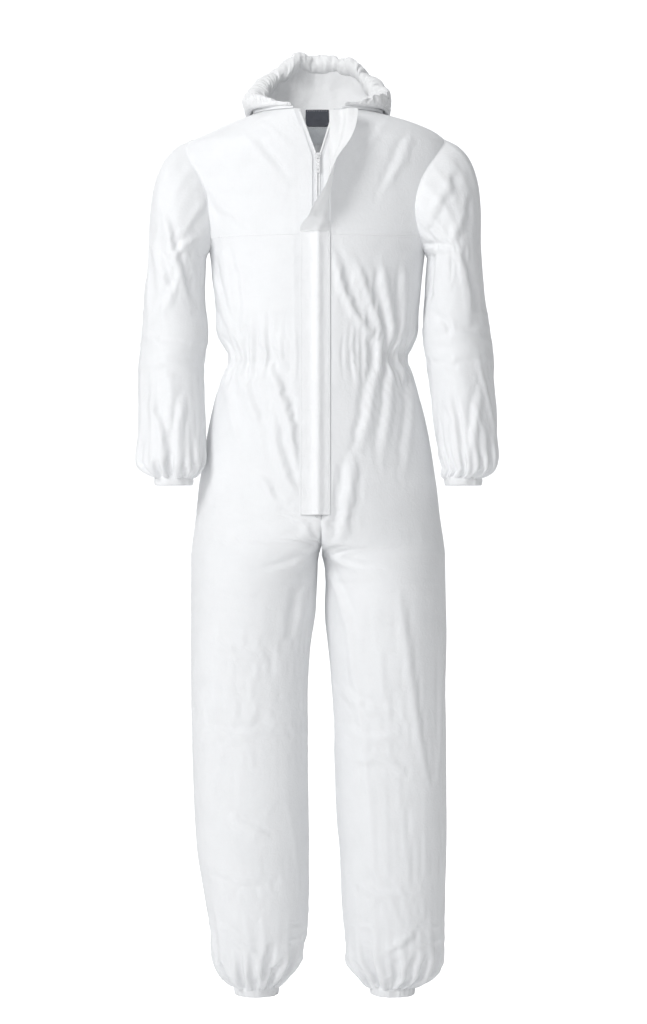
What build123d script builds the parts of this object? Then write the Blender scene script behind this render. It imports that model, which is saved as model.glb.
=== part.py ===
from build123d import *
import math
import os

# Hooded disposable chemical protective coverall, in the shape it takes when worn.
# Millimetres, +Z up. The front faces -Y, the wearer's right is -X and the wearer's left is +X.
# Origin: on the floor plane of the two ankle hems, below the middle of the neck.
# Soft panels are thin closed shells with real openings at neck, cuffs and ankles. Sleeves and legs
# are cut where they bend: cap, elbow, leg top and knee change shape, the tubes between keep theirs.

os.makedirs("parts", exist_ok=True)

# ---- driving dimensions ----------------------------------------------------------------------
SIDES = {"right": -1, "left": 1}    # side name and the sign of its x
CLOTH = 1.2                         # wall of the cloth shells
GAP = 0.4                           # clear gap between neighbouring shells
HALF_GAP = GAP / 2

NECK_Z = 1440.0                     # neckline, where the hood is sewn on
CHEST_SEAM_Z = 1239.0               # seam between the yoke and the lower body
CAP_END_Z = 1205.0                  # lower end of the sleeve caps
WAIST_Z = 1040.0                    # elasticated waist
PANEL_END_Z = 880.0                 # lower end of the body panels, above the hip bend
CROTCH_Z = 721.0
LEG_TOP_END_Z = 640.0               # lower end of the leg tops, below the hip bend

FRONT_TOP_Y = -90.0                 # front of the neckline on the centre line
FRONT_LOW_Y = -125.0                # front of the belly at the foot of the zip
ZIP_LOW_Z = 785.0
ZIP_FREE_Z = 1361.0                 # where the slider rests; above it the zip is open in a V
V_X = {"right": -27.0, "left": 24.0}    # how far each zip half leans out at the neck
SLOT = 12.8                         # half width of the slot between the front panels

# bends: centre of the joint piece, slope of its end planes, half its height at the centre;
# a positive slope makes the piece tallest at the front, a negative one at the back
ELBOW = dict(y=-8.0, z=1085.0, slope=0.60, half_height=48.0)
KNEE = dict(y=0.0, z=430.0, slope=-0.524, half_height=57.0)

CUFF_X = 234.0                      # either side of the centre line
CUFF = dict(y=-55.0, z=832.5, radius=26.0, height=12.0)
ANKLE_X = {"right": -101.0, "left": 122.0}
ANKLE = dict(y=2.0, z=0.0, radius=31.0, height=14.0)
HEM_WALL = 4.0                      # folded hem, inner skin to outer skin
HEM_SKIN = 1.0
ELASTIC_INSET = 1.5                 # elastic to each face of the hem, radially


# ---- section tables --------------------------------------------------------------------------
def front_y(z):
    """The straight front line of the body, from the neck to the foot of the zip."""
    return FRONT_TOP_Y + (NECK_Z - z) * (FRONT_LOW_Y - FRONT_TOP_Y) / (NECK_Z - ZIP_LOW_Z)


# z, low x, high x, back y
TORSO_TABLE = [
    (1440, -105, 105, 85),
    (1425, -140, 140, 98),
    (1408, -176, 176, 105),
    (1392, -204, 204, 110),
    (1368, -216, 216, 115),
    (1330, -212, 212, 120),
    (1280, -198, 198, 121),
    (1239, -185, 185, 118),
    (1215, -176, 176, 115),
    (1130, -167, 166, 100),
    (1086, -164, 162, 90),
    (1040, -145, 144, 82),
    (1010, -155, 154, 87),
    (972, -168, 167, 98),
    (907, -183, 183, 112),
    (842, -193, 193, 120),
    (777, -201, 200, 120),
    (CROTCH_Z, -207, 207, 112),
]

# z, right sleeve low x, high x, left sleeve low x, high x, front y, back y
SLEEVE_TABLE = [
    (1396, -234, -180, 180, 232, -34, 36),
    (1385, -246, -152, 152, 244, -58, 62),
    (1362, -254, -146, 146, 250, -74, 79),
    (1330, -262, -145, 145, 255, -82, 86),
    (1280, -270, -150, 150, 262, -84, 86),
    (1240, -274, -166, 164, 265, -79, 79),
    (1212, -277, -183, 182, 266, -74, 74),
    (1150, -285, -186, 176, 270, -68, 66),
    (1085, -288, -181, 170, 279, -66, 54),
    (1024, -292, -187, 177, 286, -72, 44),
    (950, -292, -184, 187, 289, -86, 22),
    (900, -294, -183, 194, 290, -97, 4),
    (870, -291, -186, 199, 288, -99, -6),
    (855, -281, -192, 206, 281, -94, -14),
    (845.4, -264.5, -203.5, 203.5, 264.5, -85.5, -24.5),
]

# z, right leg low x, high x, left leg low x, high x, front y, back y
LEG_START_Z = 775
LEG_TABLE = [
    (LEG_START_Z, -203, -3, 9, 203, -112, 112),
    (CROTCH_Z, -208, 1, 11, 208, -112, 112),
    (LEG_TOP_END_Z, -207, -3, 13, 209, -106, 106),
    (567, -208, -13, 20, 209, -98, 96),
    (486, -208, -16, 26, 209, -90, 84),
    (405, -206, -16, 29, 210, -84, 80),
    (324, -203, -16, 32, 210, -80, 84),
    (243, -198, -16, 36, 210, -77, 86),
    (162, -186, -17, 38, 208, -72, 82),
    (110, -178, -22, 42, 207, -67, 78),
    (70, -171, -28, 46, 204, -60, 70),
    (42, -162, -40, 58, 197, -51, 58),
    (26, -150, -54, 72, 180, -42, 47),
    (14.4, -137.5, -64.5, 85.5, 158.5, -34.5, 38.5),
]


def limb_rows(table, side):
    """One side's sections from a paired table: (z, low x, high x, front y, back y)."""
    first = 1 if side == "right" else 3
    return [(row[0], *row[first:first + 2], *row[5:]) for row in table]


# ---- helpers ---------------------------------------------------------------------------------
def mix(first, second, share):
    return [a + (b - a) * share for a, b in zip(first, second)]


def look_up(rows, key):
    """The other columns at a value of the first, linearly; the first row's when out of range."""
    for low, high in zip(rows, rows[1:]):
        if low[0] <= key <= high[0]:
            return mix(low[1:], high[1:], (key - low[0]) / (high[0] - low[0]))
    return rows[0][1:]


def smooth(rows, step=26.0):
    """More sections between the given ones, on a monotone cubic, in rising z."""
    rows = sorted(rows)
    spans = list(zip(rows, rows[1:]))
    columns = range(1, len(rows[0]))
    slopes = {}
    for c in columns:
        rates = [(high[c] - low[c]) / (high[0] - low[0]) for low, high in spans]
        middle = [0.0 if a * b <= 0 else 2 * a * b / (a + b) for a, b in zip(rates, rates[1:])]
        slopes[c] = [rates[0]] + middle + [rates[-1]]
    out = []
    for i, (low, high) in enumerate(spans):
        height = high[0] - low[0]
        count = max(1, round(height / step))
        for j in range(count):
            t = j / count
            # Hermite weights: low value, low slope, high value, high slope
            w_low, w_low_slope = 2 * t**3 - 3 * t**2 + 1, t**3 - 2 * t**2 + t
            w_high, w_high_slope = -2 * t**3 + 3 * t**2, t**3 - t**2
            row = [low[0] + height * t]
            for c in columns:
                row.append(
                    w_low * low[c] + w_low_slope * height * slopes[c][i]
                    + w_high * high[c] + w_high_slope * height * slopes[c][i + 1]
                )
            out.append(tuple(row))
    return out + [rows[-1]]


def section(z, x_low, x_high, y_front, y_back, inset=0.0):
    """An ellipse in two arcs."""
    plane = Plane(origin=((x_low + x_high) / 2, (y_front + y_back) / 2, z))
    x_radius, y_radius = (x_high - x_low) / 2 - inset, (y_back - y_front) / 2 - inset
    arcs = [Edge.make_ellipse(x_radius, y_radius, plane, a, a + 180) for a in (128, 308)]
    return Wire(arcs)


def filled(rows, inset=0.0):
    """A solid through the sections, moved in by inset (one number, or one for each section)."""
    rows = sorted(rows, key=lambda row: row[0])
    insets = inset if isinstance(inset, list) else [inset] * len(rows)
    wires = [section(*row, inset=i) for row, i in zip(rows, insets)]
    return Solid.make_loft(wires, ruled=True)


def grow(rows, rise=0.0):
    """The sections one gap larger all round, and raised."""
    return [(z + rise, a - GAP, b + GAP, c - GAP, d + GAP) for z, a, b, c, d in rows]


def walled(outer, inner, closed_top=False):
    """A thin-walled tube between two lofts that end on the same planes.

    With closed_top the inner loft ends lower and both tops stay closed.
    """

    def faces_of(solid):
        flat = [f for f in solid.faces() if f.geom_type == GeomType.PLANE]
        flat.sort(key=lambda f: f.center().Z)
        sides = [f for f in solid.faces() if f.geom_type != GeomType.PLANE]
        return sides, flat[0], flat[-1]

    outer_sides, outer_low, outer_top = faces_of(outer)
    inner_sides, inner_low, inner_top = faces_of(inner)
    ends = [Face(outer_low.outer_wire(), [inner_low.outer_wire()])]
    if closed_top:
        ends += [outer_top, inner_top]
    else:
        ends += [Face(outer_top.outer_wire(), [inner_top.outer_wire()])]
    return Solid(Shell(outer_sides + inner_sides + ends))


def one(shape):
    """The shape's largest solid."""
    return max(shape.solids(), key=lambda s: s.volume)


def slab(x0, x1, y0, y1, z0, z1):
    """A box between two limits on each axis."""
    return Pos((x0 + x1) / 2, (y0 + y1) / 2, (z0 + z1) / 2) * Box(x1 - x0, y1 - y0, z1 - z0)


def half(shape, point, normal):
    """The part of the shape on the side the normal points to."""
    return split(shape, bisect_by=Plane(origin=point, z_dir=normal), keep=Keep.TOP)


def above(shape, z):
    return half(shape, (0, 0, z), (0, 0, 1))


def below(shape, z):
    return half(shape, (0, 0, z), (0, 0, -1))


def save(name, shape):
    solids = [s for s in shape.solids() if s.volume > 1.0]
    out = solids[0] if len(solids) == 1 else Compound(children=solids)
    export_step(out, f"parts/{name}.step")


def save_bend(tube, names, y, z, slope, half_height):
    """Cut a tube into the pieces above, at and below a bend, with sloping planes."""
    top, bottom = z + half_height, z - half_height
    upper = half(tube, (0, y, top + HALF_GAP), (0, slope, 1))
    joint = half(tube, (0, y, top - HALF_GAP), (0, -slope, -1))
    joint = half(joint, (0, y, bottom + HALF_GAP), (0, -slope, 1))
    lower = half(tube, (0, y, bottom - HALF_GAP), (0, slope, -1))
    for name, piece in zip(names, (upper, joint, lower)):
        save(name, one(piece))


def save_hem(name, side, x, y, z, radius, height):
    """A folded hem (two skins and a fold at the bottom, open at the top) and its elastic."""
    outside = radius + HEM_WALL
    place = Pos(x, y, z + height / 2)
    body = Cylinder(outside, height) - Cylinder(radius, height)
    hollow = Cylinder(outside - HEM_SKIN, height) - Cylinder(radius + HEM_SKIN, height)
    save(f"{name}_hem_{side}", place * (body - Pos(0, 0, HEM_SKIN) * hollow))
    band_height = height - 2.6
    elastic = (
        Cylinder(outside - ELASTIC_INSET, band_height)
        - Cylinder(radius + ELASTIC_INSET, band_height)
    )
    save(f"{name}_elastic_{side}", Pos(x, y, z + height / 2 + 0.4) * elastic)


# ---- body panels -----------------------------------------------------------------------------
TORSO = smooth([(z, a, b, front_y(z), back) for z, a, b, back in TORSO_TABLE])
SLEEVE = {side: smooth(limb_rows(SLEEVE_TABLE, side)) for side in SIDES}


def front_piece(shape, side):
    """The front of a body shell beside the zip: parallel to the slider, then leaning in a V."""
    sign = SIDES[side]
    piece = half(shape, (sign * SLOT, 0, 0), (sign, 0, 0))
    piece = half(piece, (0, -HALF_GAP, 0), (0, -1, 0))
    lean = (abs(V_X[side]) + 1.5) / (NECK_Z - ZIP_FREE_Z)
    return one(half(piece, (sign * SLOT, 0, ZIP_FREE_Z), (sign, 0, -lean)))


def back_half(shape):
    return one(half(shape, (0, HALF_GAP, 0), (0, 1, 0)))


def body_panels():
    # the wall is taken further in where the shoulders run nearly flat
    insets = [2.6 if z > 1400 else 2.0 if z > 1380 else CLOTH for z, *_ in TORSO]
    shell = walled(filled(TORSO), filled(TORSO, insets))
    upper = above(shell, CHEST_SEAM_Z + HALF_GAP)
    lower = above(below(shell, CHEST_SEAM_Z - HALF_GAP), PANEL_END_Z)
    for side in SIDES:
        rows = [row for row in SLEEVE[side] if row[0] > 1140]
        armhole = filled(grow(rows[:-1]) + grow(rows[-1:], rise=0.6))
        upper = upper - armhole
        lower = lower - armhole

    for side, sign in SIDES.items():
        save(f"front_yoke_{side}", front_piece(upper, side))
        save(f"front_panel_{side}", front_piece(lower, side))
        save(f"back_panel_{side}", back_half(half(lower, (sign * HALF_GAP, 0, 0), (sign, 0, 0))))
    save("back_yoke", back_half(upper))


def waist_elastic():
    """A band inside the back and sides, ending either side of the flat front."""
    ellipse = (-142.6, 141.6, front_y(WAIST_Z) + 2.4, 79.4)
    rows = [(WAIST_Z - 5, *ellipse), (WAIST_Z + 5, *ellipse)]
    band = walled(filled(rows), filled(rows, 0.9))
    save("waist_elastic", one(band - slab(-56, 56, -200, -20, WAIST_Z - 20, WAIST_Z + 20)))


# ---- zip, storm flap and slider --------------------------------------------------------------
# Modelled flat, then placed by ZIP. Local axes: x, u up along the zip from the neck, n outward.
ZIP_RUN = math.hypot(FRONT_LOW_Y - FRONT_TOP_Y, NECK_Z - ZIP_LOW_Z)
UP_Y = (FRONT_TOP_Y - FRONT_LOW_Y) / ZIP_RUN
UP_Z = (NECK_Z - ZIP_LOW_Z) / ZIP_RUN
ZIP = Plane(origin=(0, FRONT_TOP_Y, NECK_Z), x_dir=(1, 0, 0), z_dir=(0.0, -UP_Z, UP_Y))
U_LOW = -ZIP_RUN
U_FREE = (ZIP_FREE_Z - NECK_Z) / UP_Z       # the slider's place

TAPE_N = (-2.3, -1.7)
COIL_N = (-1.65, 0.2)
GROOVE_PITCH = 8.0

FLAP_X = 19.0            # sewn line of the storm flap, on the wearer's left of the zip
FLAP_OPEN = 160.0        # how far the upper flap is turned back, in degrees
FLAP_SPLIT_U = -200.5    # where the loose upper flap meets the closed lower flap
# (x, n) round the flap's cross-section: a strip with a low tent over the coil and slider
FLAP_OUTLINE = [
    (19.4, 1.5), (13.0, 1.8), (4.5, 6.6), (-4.5, 6.6), (-12.5, 2.3), (-29.0, 1.9),
    (-29.0, 1.0), (-12.2, 1.4), (-4.2, 5.7), (4.2, 5.7), (12.7, 0.9), (19.4, 0.6),
]

SLIDER_W = 9.6
SLIDER_UP, SLIDER_DOWN = 6.0, 5.0       # reach of the slider above and below U_FREE
PULL_LEN, PULL_W, PULL_T = 27.0, 6.0, 1.4
PULL_N = 2.75                           # height of the pull's axis over the cloth


def outline_face(points, plane):
    with BuildSketch(plane) as sketch:
        with BuildLine():
            Polyline(*points, close=True)
        make_face()
    return sketch.sketch


def zip_prism(points, n_low, n_high):
    """An (x, u) outline given thickness from n_low to n_high."""
    return extrude(outline_face(points, Plane.XY.offset(n_low)), amount=n_high - n_low)


def zip_strip(side, inner, outer, n_range, top):
    """A strip beside the zip line: straight up to the slider, then leaning out to the neck."""
    sign, lean = SIDES[side], V_X[side]
    points = [
        (sign * inner, U_LOW + 2), (sign * inner, U_FREE), (lean + sign * inner, top),
        (lean + sign * outer, top), (sign * outer, U_FREE), (sign * outer, U_LOW + 2),
    ]
    return zip_prism(points, *n_range)


def zip_halves():
    for side, sign in SIDES.items():
        save(f"zip_tape_{side}", ZIP * zip_strip(side, 0.9, 12.2, TAPE_N, top=-1.0))
        coil = zip_strip(side, 0.75, 3.0, COIL_N, top=-6.0)
        # the coil's turns, as shallow grooves across its face
        for i in range(int((U_FREE - U_LOW - 14) / GROOVE_PITCH)):
            u = U_LOW + 8 + GROOVE_PITCH * i
            coil = coil - slab(*sorted((sign * 0.5, sign * 3.4)), u - 0.9, u + 0.9, -0.35, 0.5)
        save(f"zip_coil_{side}", ZIP * coil)


def zip_stops():
    """A staple over both coils at the foot, and a small crimp at the top of each coil."""
    staple = slab(-4.2, 4.2, U_LOW - 3.2, U_LOW + 1.6, -1.6, 0.6)
    save("zip_bottom_stop", ZIP * fillet(staple.edges().filter_by(Axis.Z), 1.0))
    crimps = []
    for side, sign in SIDES.items():
        crimp = slab(-1.6, 1.6, -5.6, -2.2, -1.6, 0.8)
        crimps.append(one(ZIP * (Pos(V_X[side] + sign * 1.9, 0, 0) * crimp)))
    save("zip_top_stops", Compound(children=crimps))


def flap_strip(u_low, u_high):
    plane = Plane(origin=(0, u_low, 0), x_dir=(1, 0, 0), z_dir=(0, -1, 0))
    return extrude(outline_face(FLAP_OUTLINE, plane), amount=-(u_high - u_low))


def storm_flap():
    save("storm_flap_lower", ZIP * flap_strip(U_LOW, FLAP_SPLIT_U - 0.5))
    loose = flap_strip(FLAP_SPLIT_U + 0.5, -4.0)
    loose = loose.rotate(Axis((FLAP_X, 0, 1.2), (0, 1, 0)), FLAP_OPEN)
    save("storm_flap_upper", ZIP * loose)


def slider_body():
    """Top and bottom plates joined by a post that runs between the coils."""
    edge = SLIDER_W / 2
    left = [
        (edge - 0.9, U_FREE + SLIDER_UP), (edge, U_FREE + SLIDER_UP - 1.0),
        (edge - 1.0, U_FREE - SLIDER_DOWN + 0.8), (edge - 1.9, U_FREE - SLIDER_DOWN),
    ]
    outline = left + [(-x, u) for x, u in reversed(left)]
    post = slab(-0.45, 0.45, U_FREE + 2.6, U_FREE + 4.6, -2.6, 0.6)
    body = zip_prism(outline, 0.5, 1.5) + zip_prism(outline, -3.5, -2.5) + post
    save("zip_slider_body", ZIP * body)


def slider_bridge():
    """Two feet and a bar, which hold the pull's pin."""
    bridge = (
        slab(-1.1, 1.1, U_FREE + 2.7, U_FREE + 3.9, 1.55, 4.7)
        + slab(-1.1, 1.1, U_FREE - 3.9, U_FREE - 2.7, 1.55, 4.7)
        + slab(-1.1, 1.1, U_FREE - 3.9, U_FREE + 3.9, 4.1, 4.9)
    )
    bridge = fillet(bridge.edges().filter_by(Axis.X).group_by(Axis.Z)[-1], 0.5)
    save("zip_slider_bridge", ZIP * bridge)


def pull_tab():
    """A pin under the bridge, two arms beside it, and the tab that hangs below."""
    pin = Pos(0, U_FREE, PULL_N) * Rot(0, 90, 0) * Cylinder(0.7, 5.4)
    arm_limits = (U_FREE - 6.4, U_FREE + 0.7, PULL_N - 0.6, PULL_N + 0.6)
    arms = slab(-2.9, -1.4, *arm_limits) + slab(1.4, 2.9, *arm_limits)
    end_u = U_FREE - PULL_LEN
    tab = slab(
        -PULL_W / 2, PULL_W / 2, end_u, U_FREE - 5.4, PULL_N - PULL_T / 2, PULL_N + PULL_T / 2
    )
    tab = fillet(tab.edges().filter_by(Axis.Z).group_by(Axis.Y)[0], 1.8)
    hole = Pos(0, end_u + 5.0, PULL_N) * Cylinder(1.1, 4)
    save("zip_pull_tab", ZIP * (pin + arms + tab - hole))


# ---- neck ------------------------------------------------------------------------------------
# z, low x, high x, front y, back y
COLLAR = [
    (NECK_Z + GAP, -105, 105, FRONT_TOP_Y, 85),
    (1450, -104.5, 104.5, -89, 86),
    (1461, -104, 104, -88, 87),
]


def neck():
    """The collar band, low at the front and standing up at the back, and two labels."""
    collar = walled(filled(COLLAR), filled(COLLAR, CLOTH))
    side_cut = SLOT + 3.5
    collar = collar - slab(V_X["right"] - side_cut, V_X["left"] + side_cut, -140, 0, 1430, 1480)
    save("hood_neck_band", one(half(collar, (0, -90, 1443), (0, 0.1017, -1))))
    save("neck_label", slab(-22, 16, 78.6, 79.2, 1436.0, 1454.0))
    save("care_label", slab(-18, 17, 77.4, 78.0, 1417.0, 1441.0))


# ---- hood, folded down behind the neck -------------------------------------------------------
RING_A, RING_B, RING_Y = 104.5, 88.0, -2.0     # neck ring: radius in x, radius in y, centre y
HOOD_HEM_R, HEM_BORE, ELASTIC_R = 9.0, 4.0, 3.4

# the hem's line: angle from the back of the neck, distance out from the ring, height
HEM_LINE = [
    (0, 16.0, 1527), (20, 15.0, 1523.5), (40, 11.5, 1514), (62, 5.5, 1496),
    (85, -0.8, 1476), (108, -2.0, 1465), (135, -1.5, 1458), (152, -0.8, 1454.2),
]

# Each side hangs as a bag: out from the neck ring, down behind the shoulder, up to the hem.
# angle from the back, then the profile as (distance out from the ring, height)
HOOD = [
    (0, [(30.5, 1411), (48, 1394), (70, 1394), (88, 1422),
         (91, 1464), (74, 1504), (50, 1525), (27.0, 1533)]),
    (28, [(28.0, 1413), (43, 1399), (62, 1402), (78, 1426),
          (80, 1462), (66, 1497), (45, 1515), (24.5, 1525)]),
    (52, [(22.0, 1425), (32, 1417), (46, 1421), (56, 1438),
          (57, 1463), (49, 1486), (34, 1501), (19.0, 1509)]),
    (76, [(12.0, 1441), (17, 1438.5), (24, 1441), (29, 1449),
          (30, 1462), (27, 1474), (20, 1483), (11.5, 1487)]),
    (100, [(6.0, 1446.5), (9, 1445.5), (13, 1447), (15.5, 1451),
           (16, 1457), (14.5, 1463), (12, 1468), (8.4, 1470)]),
    (132, [(4.0, 1447), (6, 1446.2), (8.6, 1447), (10.4, 1449.6),
           (11, 1453), (10.6, 1456.6), (9.8, 1459), (8.6, 1461)]),
]

FOLD_OUT, FOLD_Z = 1.4, 1447.5          # the neck fold's upper edge: out from the ring, height
FOLD_ANGLES = (28, 52, 76, 100, 124)    # stations either side of the back


def ring_point(angle, out, z, sign=1):
    """A point at a distance square out from the neck ring, on the side given by sign."""
    turn = math.radians(angle)
    normal_x, normal_y = RING_B * math.sin(turn), RING_A * math.cos(turn)
    length = math.hypot(normal_x, normal_y)
    x = RING_A * math.sin(turn) + out * normal_x / length
    return (sign * x, RING_Y + RING_B * math.cos(turn) + out * normal_y / length, z)


def shoulder_z(x, y):
    """Height of the body's outer surface under a point."""
    best = 0.0
    for (z_low, *low), (z_high, *high) in zip(TORSO, TORSO[1:]):
        for k in range(9):
            share = k / 8
            x0, x1, y0, y1 = mix(low, high, share)
            across = (x - (x0 + x1) / 2) / ((x1 - x0) / 2)
            along_y = (y - (y0 + y1) / 2) / ((y1 - y0) / 2)
            if across ** 2 + along_y ** 2 <= 1:
                best = max(best, z_low + (z_high - z_low) * share)
    return best


def clear_of_shoulder(point, gap):
    x, y, z = point
    return Vector(x, y, max(z, shoulder_z(x, y) + gap))


def hood_hem():
    points = [ring_point(*row, sign=-1) for row in reversed(HEM_LINE[1:])]
    path = Spline(*points, *[ring_point(*row) for row in HEM_LINE])
    start = Plane(origin=path @ 0, z_dir=path % 0)
    hem_ring = Circle(HOOD_HEM_R) - Circle(HEM_BORE)
    save("hood_hem", one(sweep(start * hem_ring, path=path)))
    save("hood_elastic", one(sweep(start * Circle(ELASTIC_R), path=path)))


def hood_section(angle, profile, sign):
    """The cloth's cross-section: the profile, and the same moved one cloth into the bag."""
    outer = [clear_of_shoulder(ring_point(angle, out, z, sign), 5.0) for out, z in profile]
    turn = math.radians(angle)
    outward = Vector(sign * RING_B * math.sin(turn), RING_A * math.cos(turn), 0).normalized()
    inner = []
    for i, point in enumerate(outer):
        before, after = outer[max(i - 1, 0)], outer[min(i + 1, len(outer) - 1)]
        tangent = (after - before).normalized()
        inward = Vector(0, 0, 1) * tangent.dot(outward) - outward * tangent.Z
        inner.append(point + inward.normalized() * CLOTH)
    with BuildLine():
        edges = [
            Spline(*outer),
            Line(outer[-1], inner[-1]),
            Spline(*reversed(inner)),
            Line(inner[0], outer[0]),
        ]
    return Face(Wire([e.edge() for e in edges]))


def hood_panels():
    for side, sign in SIDES.items():
        wires = [hood_section(angle, profile, sign).outer_wire() for angle, profile in HOOD]
        panel = half(Solid.make_loft(wires), (sign * HALF_GAP, 0, 0), (sign, 0, 0))
        save(f"hood_panel_{side}", one(panel))


def fold_edges(thickness, rise):
    """Upper and lower edge of one face of the neck fold, from right to left."""
    stations = [(-1, a) for a in reversed(FOLD_ANGLES)] + [(1, a) for a in (0, *FOLD_ANGLES)]
    bag_starts = [(angle, *profile[0]) for angle, profile in HOOD]
    shift = thickness * 0.7
    upper, lower = [], []
    for sign, angle in stations:
        upper.append(ring_point(angle, FOLD_OUT + shift, FOLD_Z + rise, sign))
        out, z = look_up(bag_starts, angle)
        share = 0.62 if angle > 90 else 0.93     # how far the fold reaches towards the bag
        end_out = FOLD_OUT + (out - FOLD_OUT) * share + shift
        end_z = FOLD_Z + (z - FOLD_Z) * share
        end = clear_of_shoulder(ring_point(angle, end_out, end_z, sign), 4.6)
        lower.append((end.X, end.Y, end.Z + rise + 0.3))
    return Spline(*upper), Spline(*lower)


def neck_fold():
    """The cloth between the neck ring and the two bags, which straightens with the hood up."""
    upper, lower = fold_edges(0.0, 0.0)
    outer_upper, outer_lower = fold_edges(CLOTH, 0.6)
    rails = [upper, lower, outer_lower, outer_upper]
    pairs = list(zip(rails, rails[1:] + rails[:1]))
    faces = [Face.make_surface_from_curves(a.edge(), b.edge()) for a, b in pairs]
    ends = [Face(Wire([Line(a @ k, b @ k).edge() for a, b in pairs])) for k in (0, 1)]
    save("hood_neck_fold", Solid(Shell(faces + ends)))


# ---- sleeves ---------------------------------------------------------------------------------
def sleeves():
    torso_core = filled(grow([row for row in TORSO if row[0] > 1010], rise=GAP))
    for side, sign in SIDES.items():
        rows = SLEEVE[side]
        top_z, *top = rows[-1]
        inner = filled(rows[:-1] + [(top_z - 1.8, *top)], CLOTH)
        shell = walled(filled(rows), inner, closed_top=True)
        cap = above(shell, CAP_END_Z + HALF_GAP) - torso_core
        save(f"sleeve_cap_{side}", one(cap))
        names = [f"sleeve_{part}_{side}" for part in ("upper", "elbow", "forearm")]
        save_bend(below(shell, CAP_END_Z - HALF_GAP), names, **ELBOW)
        save_hem("cuff", side, sign * CUFF_X, **CUFF)


# ---- legs ------------------------------------------------------------------------------------
LEG_CENTRE_X = 100.0     # the leg top's outline is drawn as rays from here, at y 0
RAYS = 44
SEAT_SEAM_X = 6.0        # the seat seam, from the foot of the zip round to the back


def reach(start_x, dir_x, dir_y, x_low, x_high, y_front, y_back):
    """Distance from (start_x, 0) along a direction to an ellipse that holds the point."""
    a, b = (x_high - x_low) / 2, (y_back - y_front) / 2
    px, py = (start_x - (x_low + x_high) / 2) / a, -(y_front + y_back) / 2 / b
    vx, vy = dir_x / a, dir_y / b
    square, linear, rest = vx * vx + vy * vy, px * vx + py * vy, px * px + py * py - 1
    return (-linear + math.sqrt(linear * linear - square * rest)) / square


def leg_top_wire(sign, z, share, wall, thigh, inset):
    """Half of the pelvis, changing into the round thigh as share falls to 0.

    A wall, that far past the centre line, closes the pelvis on its inner side.
    """
    centre_x = sign * LEG_CENTRE_X
    points = []
    for i in range(RAYS):
        turn = 2 * math.pi * (i + 0.5) / RAYS
        dir_x, dir_y = math.cos(turn) * sign, math.sin(turn)
        to_thigh = reach(centre_x, dir_x, dir_y, *thigh)
        to_pelvis = reach(centre_x, dir_x, dir_y, *look_up(TORSO, z))
        if sign * dir_x < 0:
            to_wall = (LEG_CENTRE_X + wall) / -(sign * dir_x)
            # a soft minimum, which rounds the corner between pelvis and wall
            to_pelvis = (to_pelvis ** -8 + to_wall ** -8) ** (-1 / 8)
        radius = to_pelvis * share + to_thigh * (1 - share)
        points.append((centre_x + dir_x * radius, dir_y * radius))
    out = []
    for i, (x, y) in enumerate(points):
        (ax, ay), (bx, by) = points[i - 1], points[(i + 1) % RAYS]
        dx, dy = bx - ax, by - ay
        length = math.hypot(dx, dy)
        out.append((x - sign * dy / length * inset, y + sign * dx / length * inset, z))
    return Wire([Spline(*out, periodic=True).edge()])


def leg_top(side, rows):
    sign = SIDES[side]
    by_z = {row[0]: row[1:] for row in rows}
    start, crotch, end = by_z[LEG_START_Z], by_z[CROTCH_Z], by_z[LEG_TOP_END_Z]
    # z, share of the pelvis shape, wall's distance past the centre line, thigh ellipse
    plan = smooth([
        (PANEL_END_Z - GAP, 1.0, 48.0, *start),
        (842, 1.0, 48.0, *start),
        (800, 1.0, 46.0, *start),
        (772, 0.96, 36.0, *start),
        (744, 0.66, 14.0, *start),
        (CROTCH_Z, 0.28, 2.0, *crotch),
        (690, 0.06, 0.0, *crotch),
        (LEG_TOP_END_Z + HALF_GAP, 0.0, 0.0, *end),
    ], 20.0)
    outer, inner = [
        Solid.make_loft(
            [leg_top_wire(sign, z, share, wall, thigh, inset) for z, share, wall, *thigh in plan],
            ruled=True,
        )
        for inset in (0.0, CLOTH)
    ]
    top = half(walled(outer, inner), (SEAT_SEAM_X + sign * HALF_GAP, 0, 0), (sign, 0, 0))
    top = top - slab(-SLOT, SLOT, -200, 0, ZIP_LOW_Z - 6, 1000)
    save(f"leg_top_{side}", one(top))


def legs():
    for side in SIDES:
        rows = limb_rows(LEG_TABLE, side)
        leg_top(side, rows)
        tube = smooth([row for row in rows if row[0] <= LEG_TOP_END_Z])
        tube[-1] = (LEG_TOP_END_Z - HALF_GAP, *tube[-1][1:])
        names = [f"leg_{part}_{side}" for part in ("thigh", "knee", "shin")]
        save_bend(walled(filled(tube), filled(tube, CLOTH)), names, **KNEE)
        save_hem("ankle", side, ANKLE_X[side], **ANKLE)


body_panels()
waist_elastic()
zip_halves()
zip_stops()
storm_flap()
slider_body()
slider_bridge()
pull_tab()
neck()
hood_hem()
hood_panels()
neck_fold()
sleeves()
legs()
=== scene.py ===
"""A white hooded coverall, standing empty, with a zip and a storm flap down its front.

+Z is up, with the ankle hems at the floor. The front faces -Y, the wearer's right is -X and the
wearer's left is +X.
"""
import math

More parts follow.
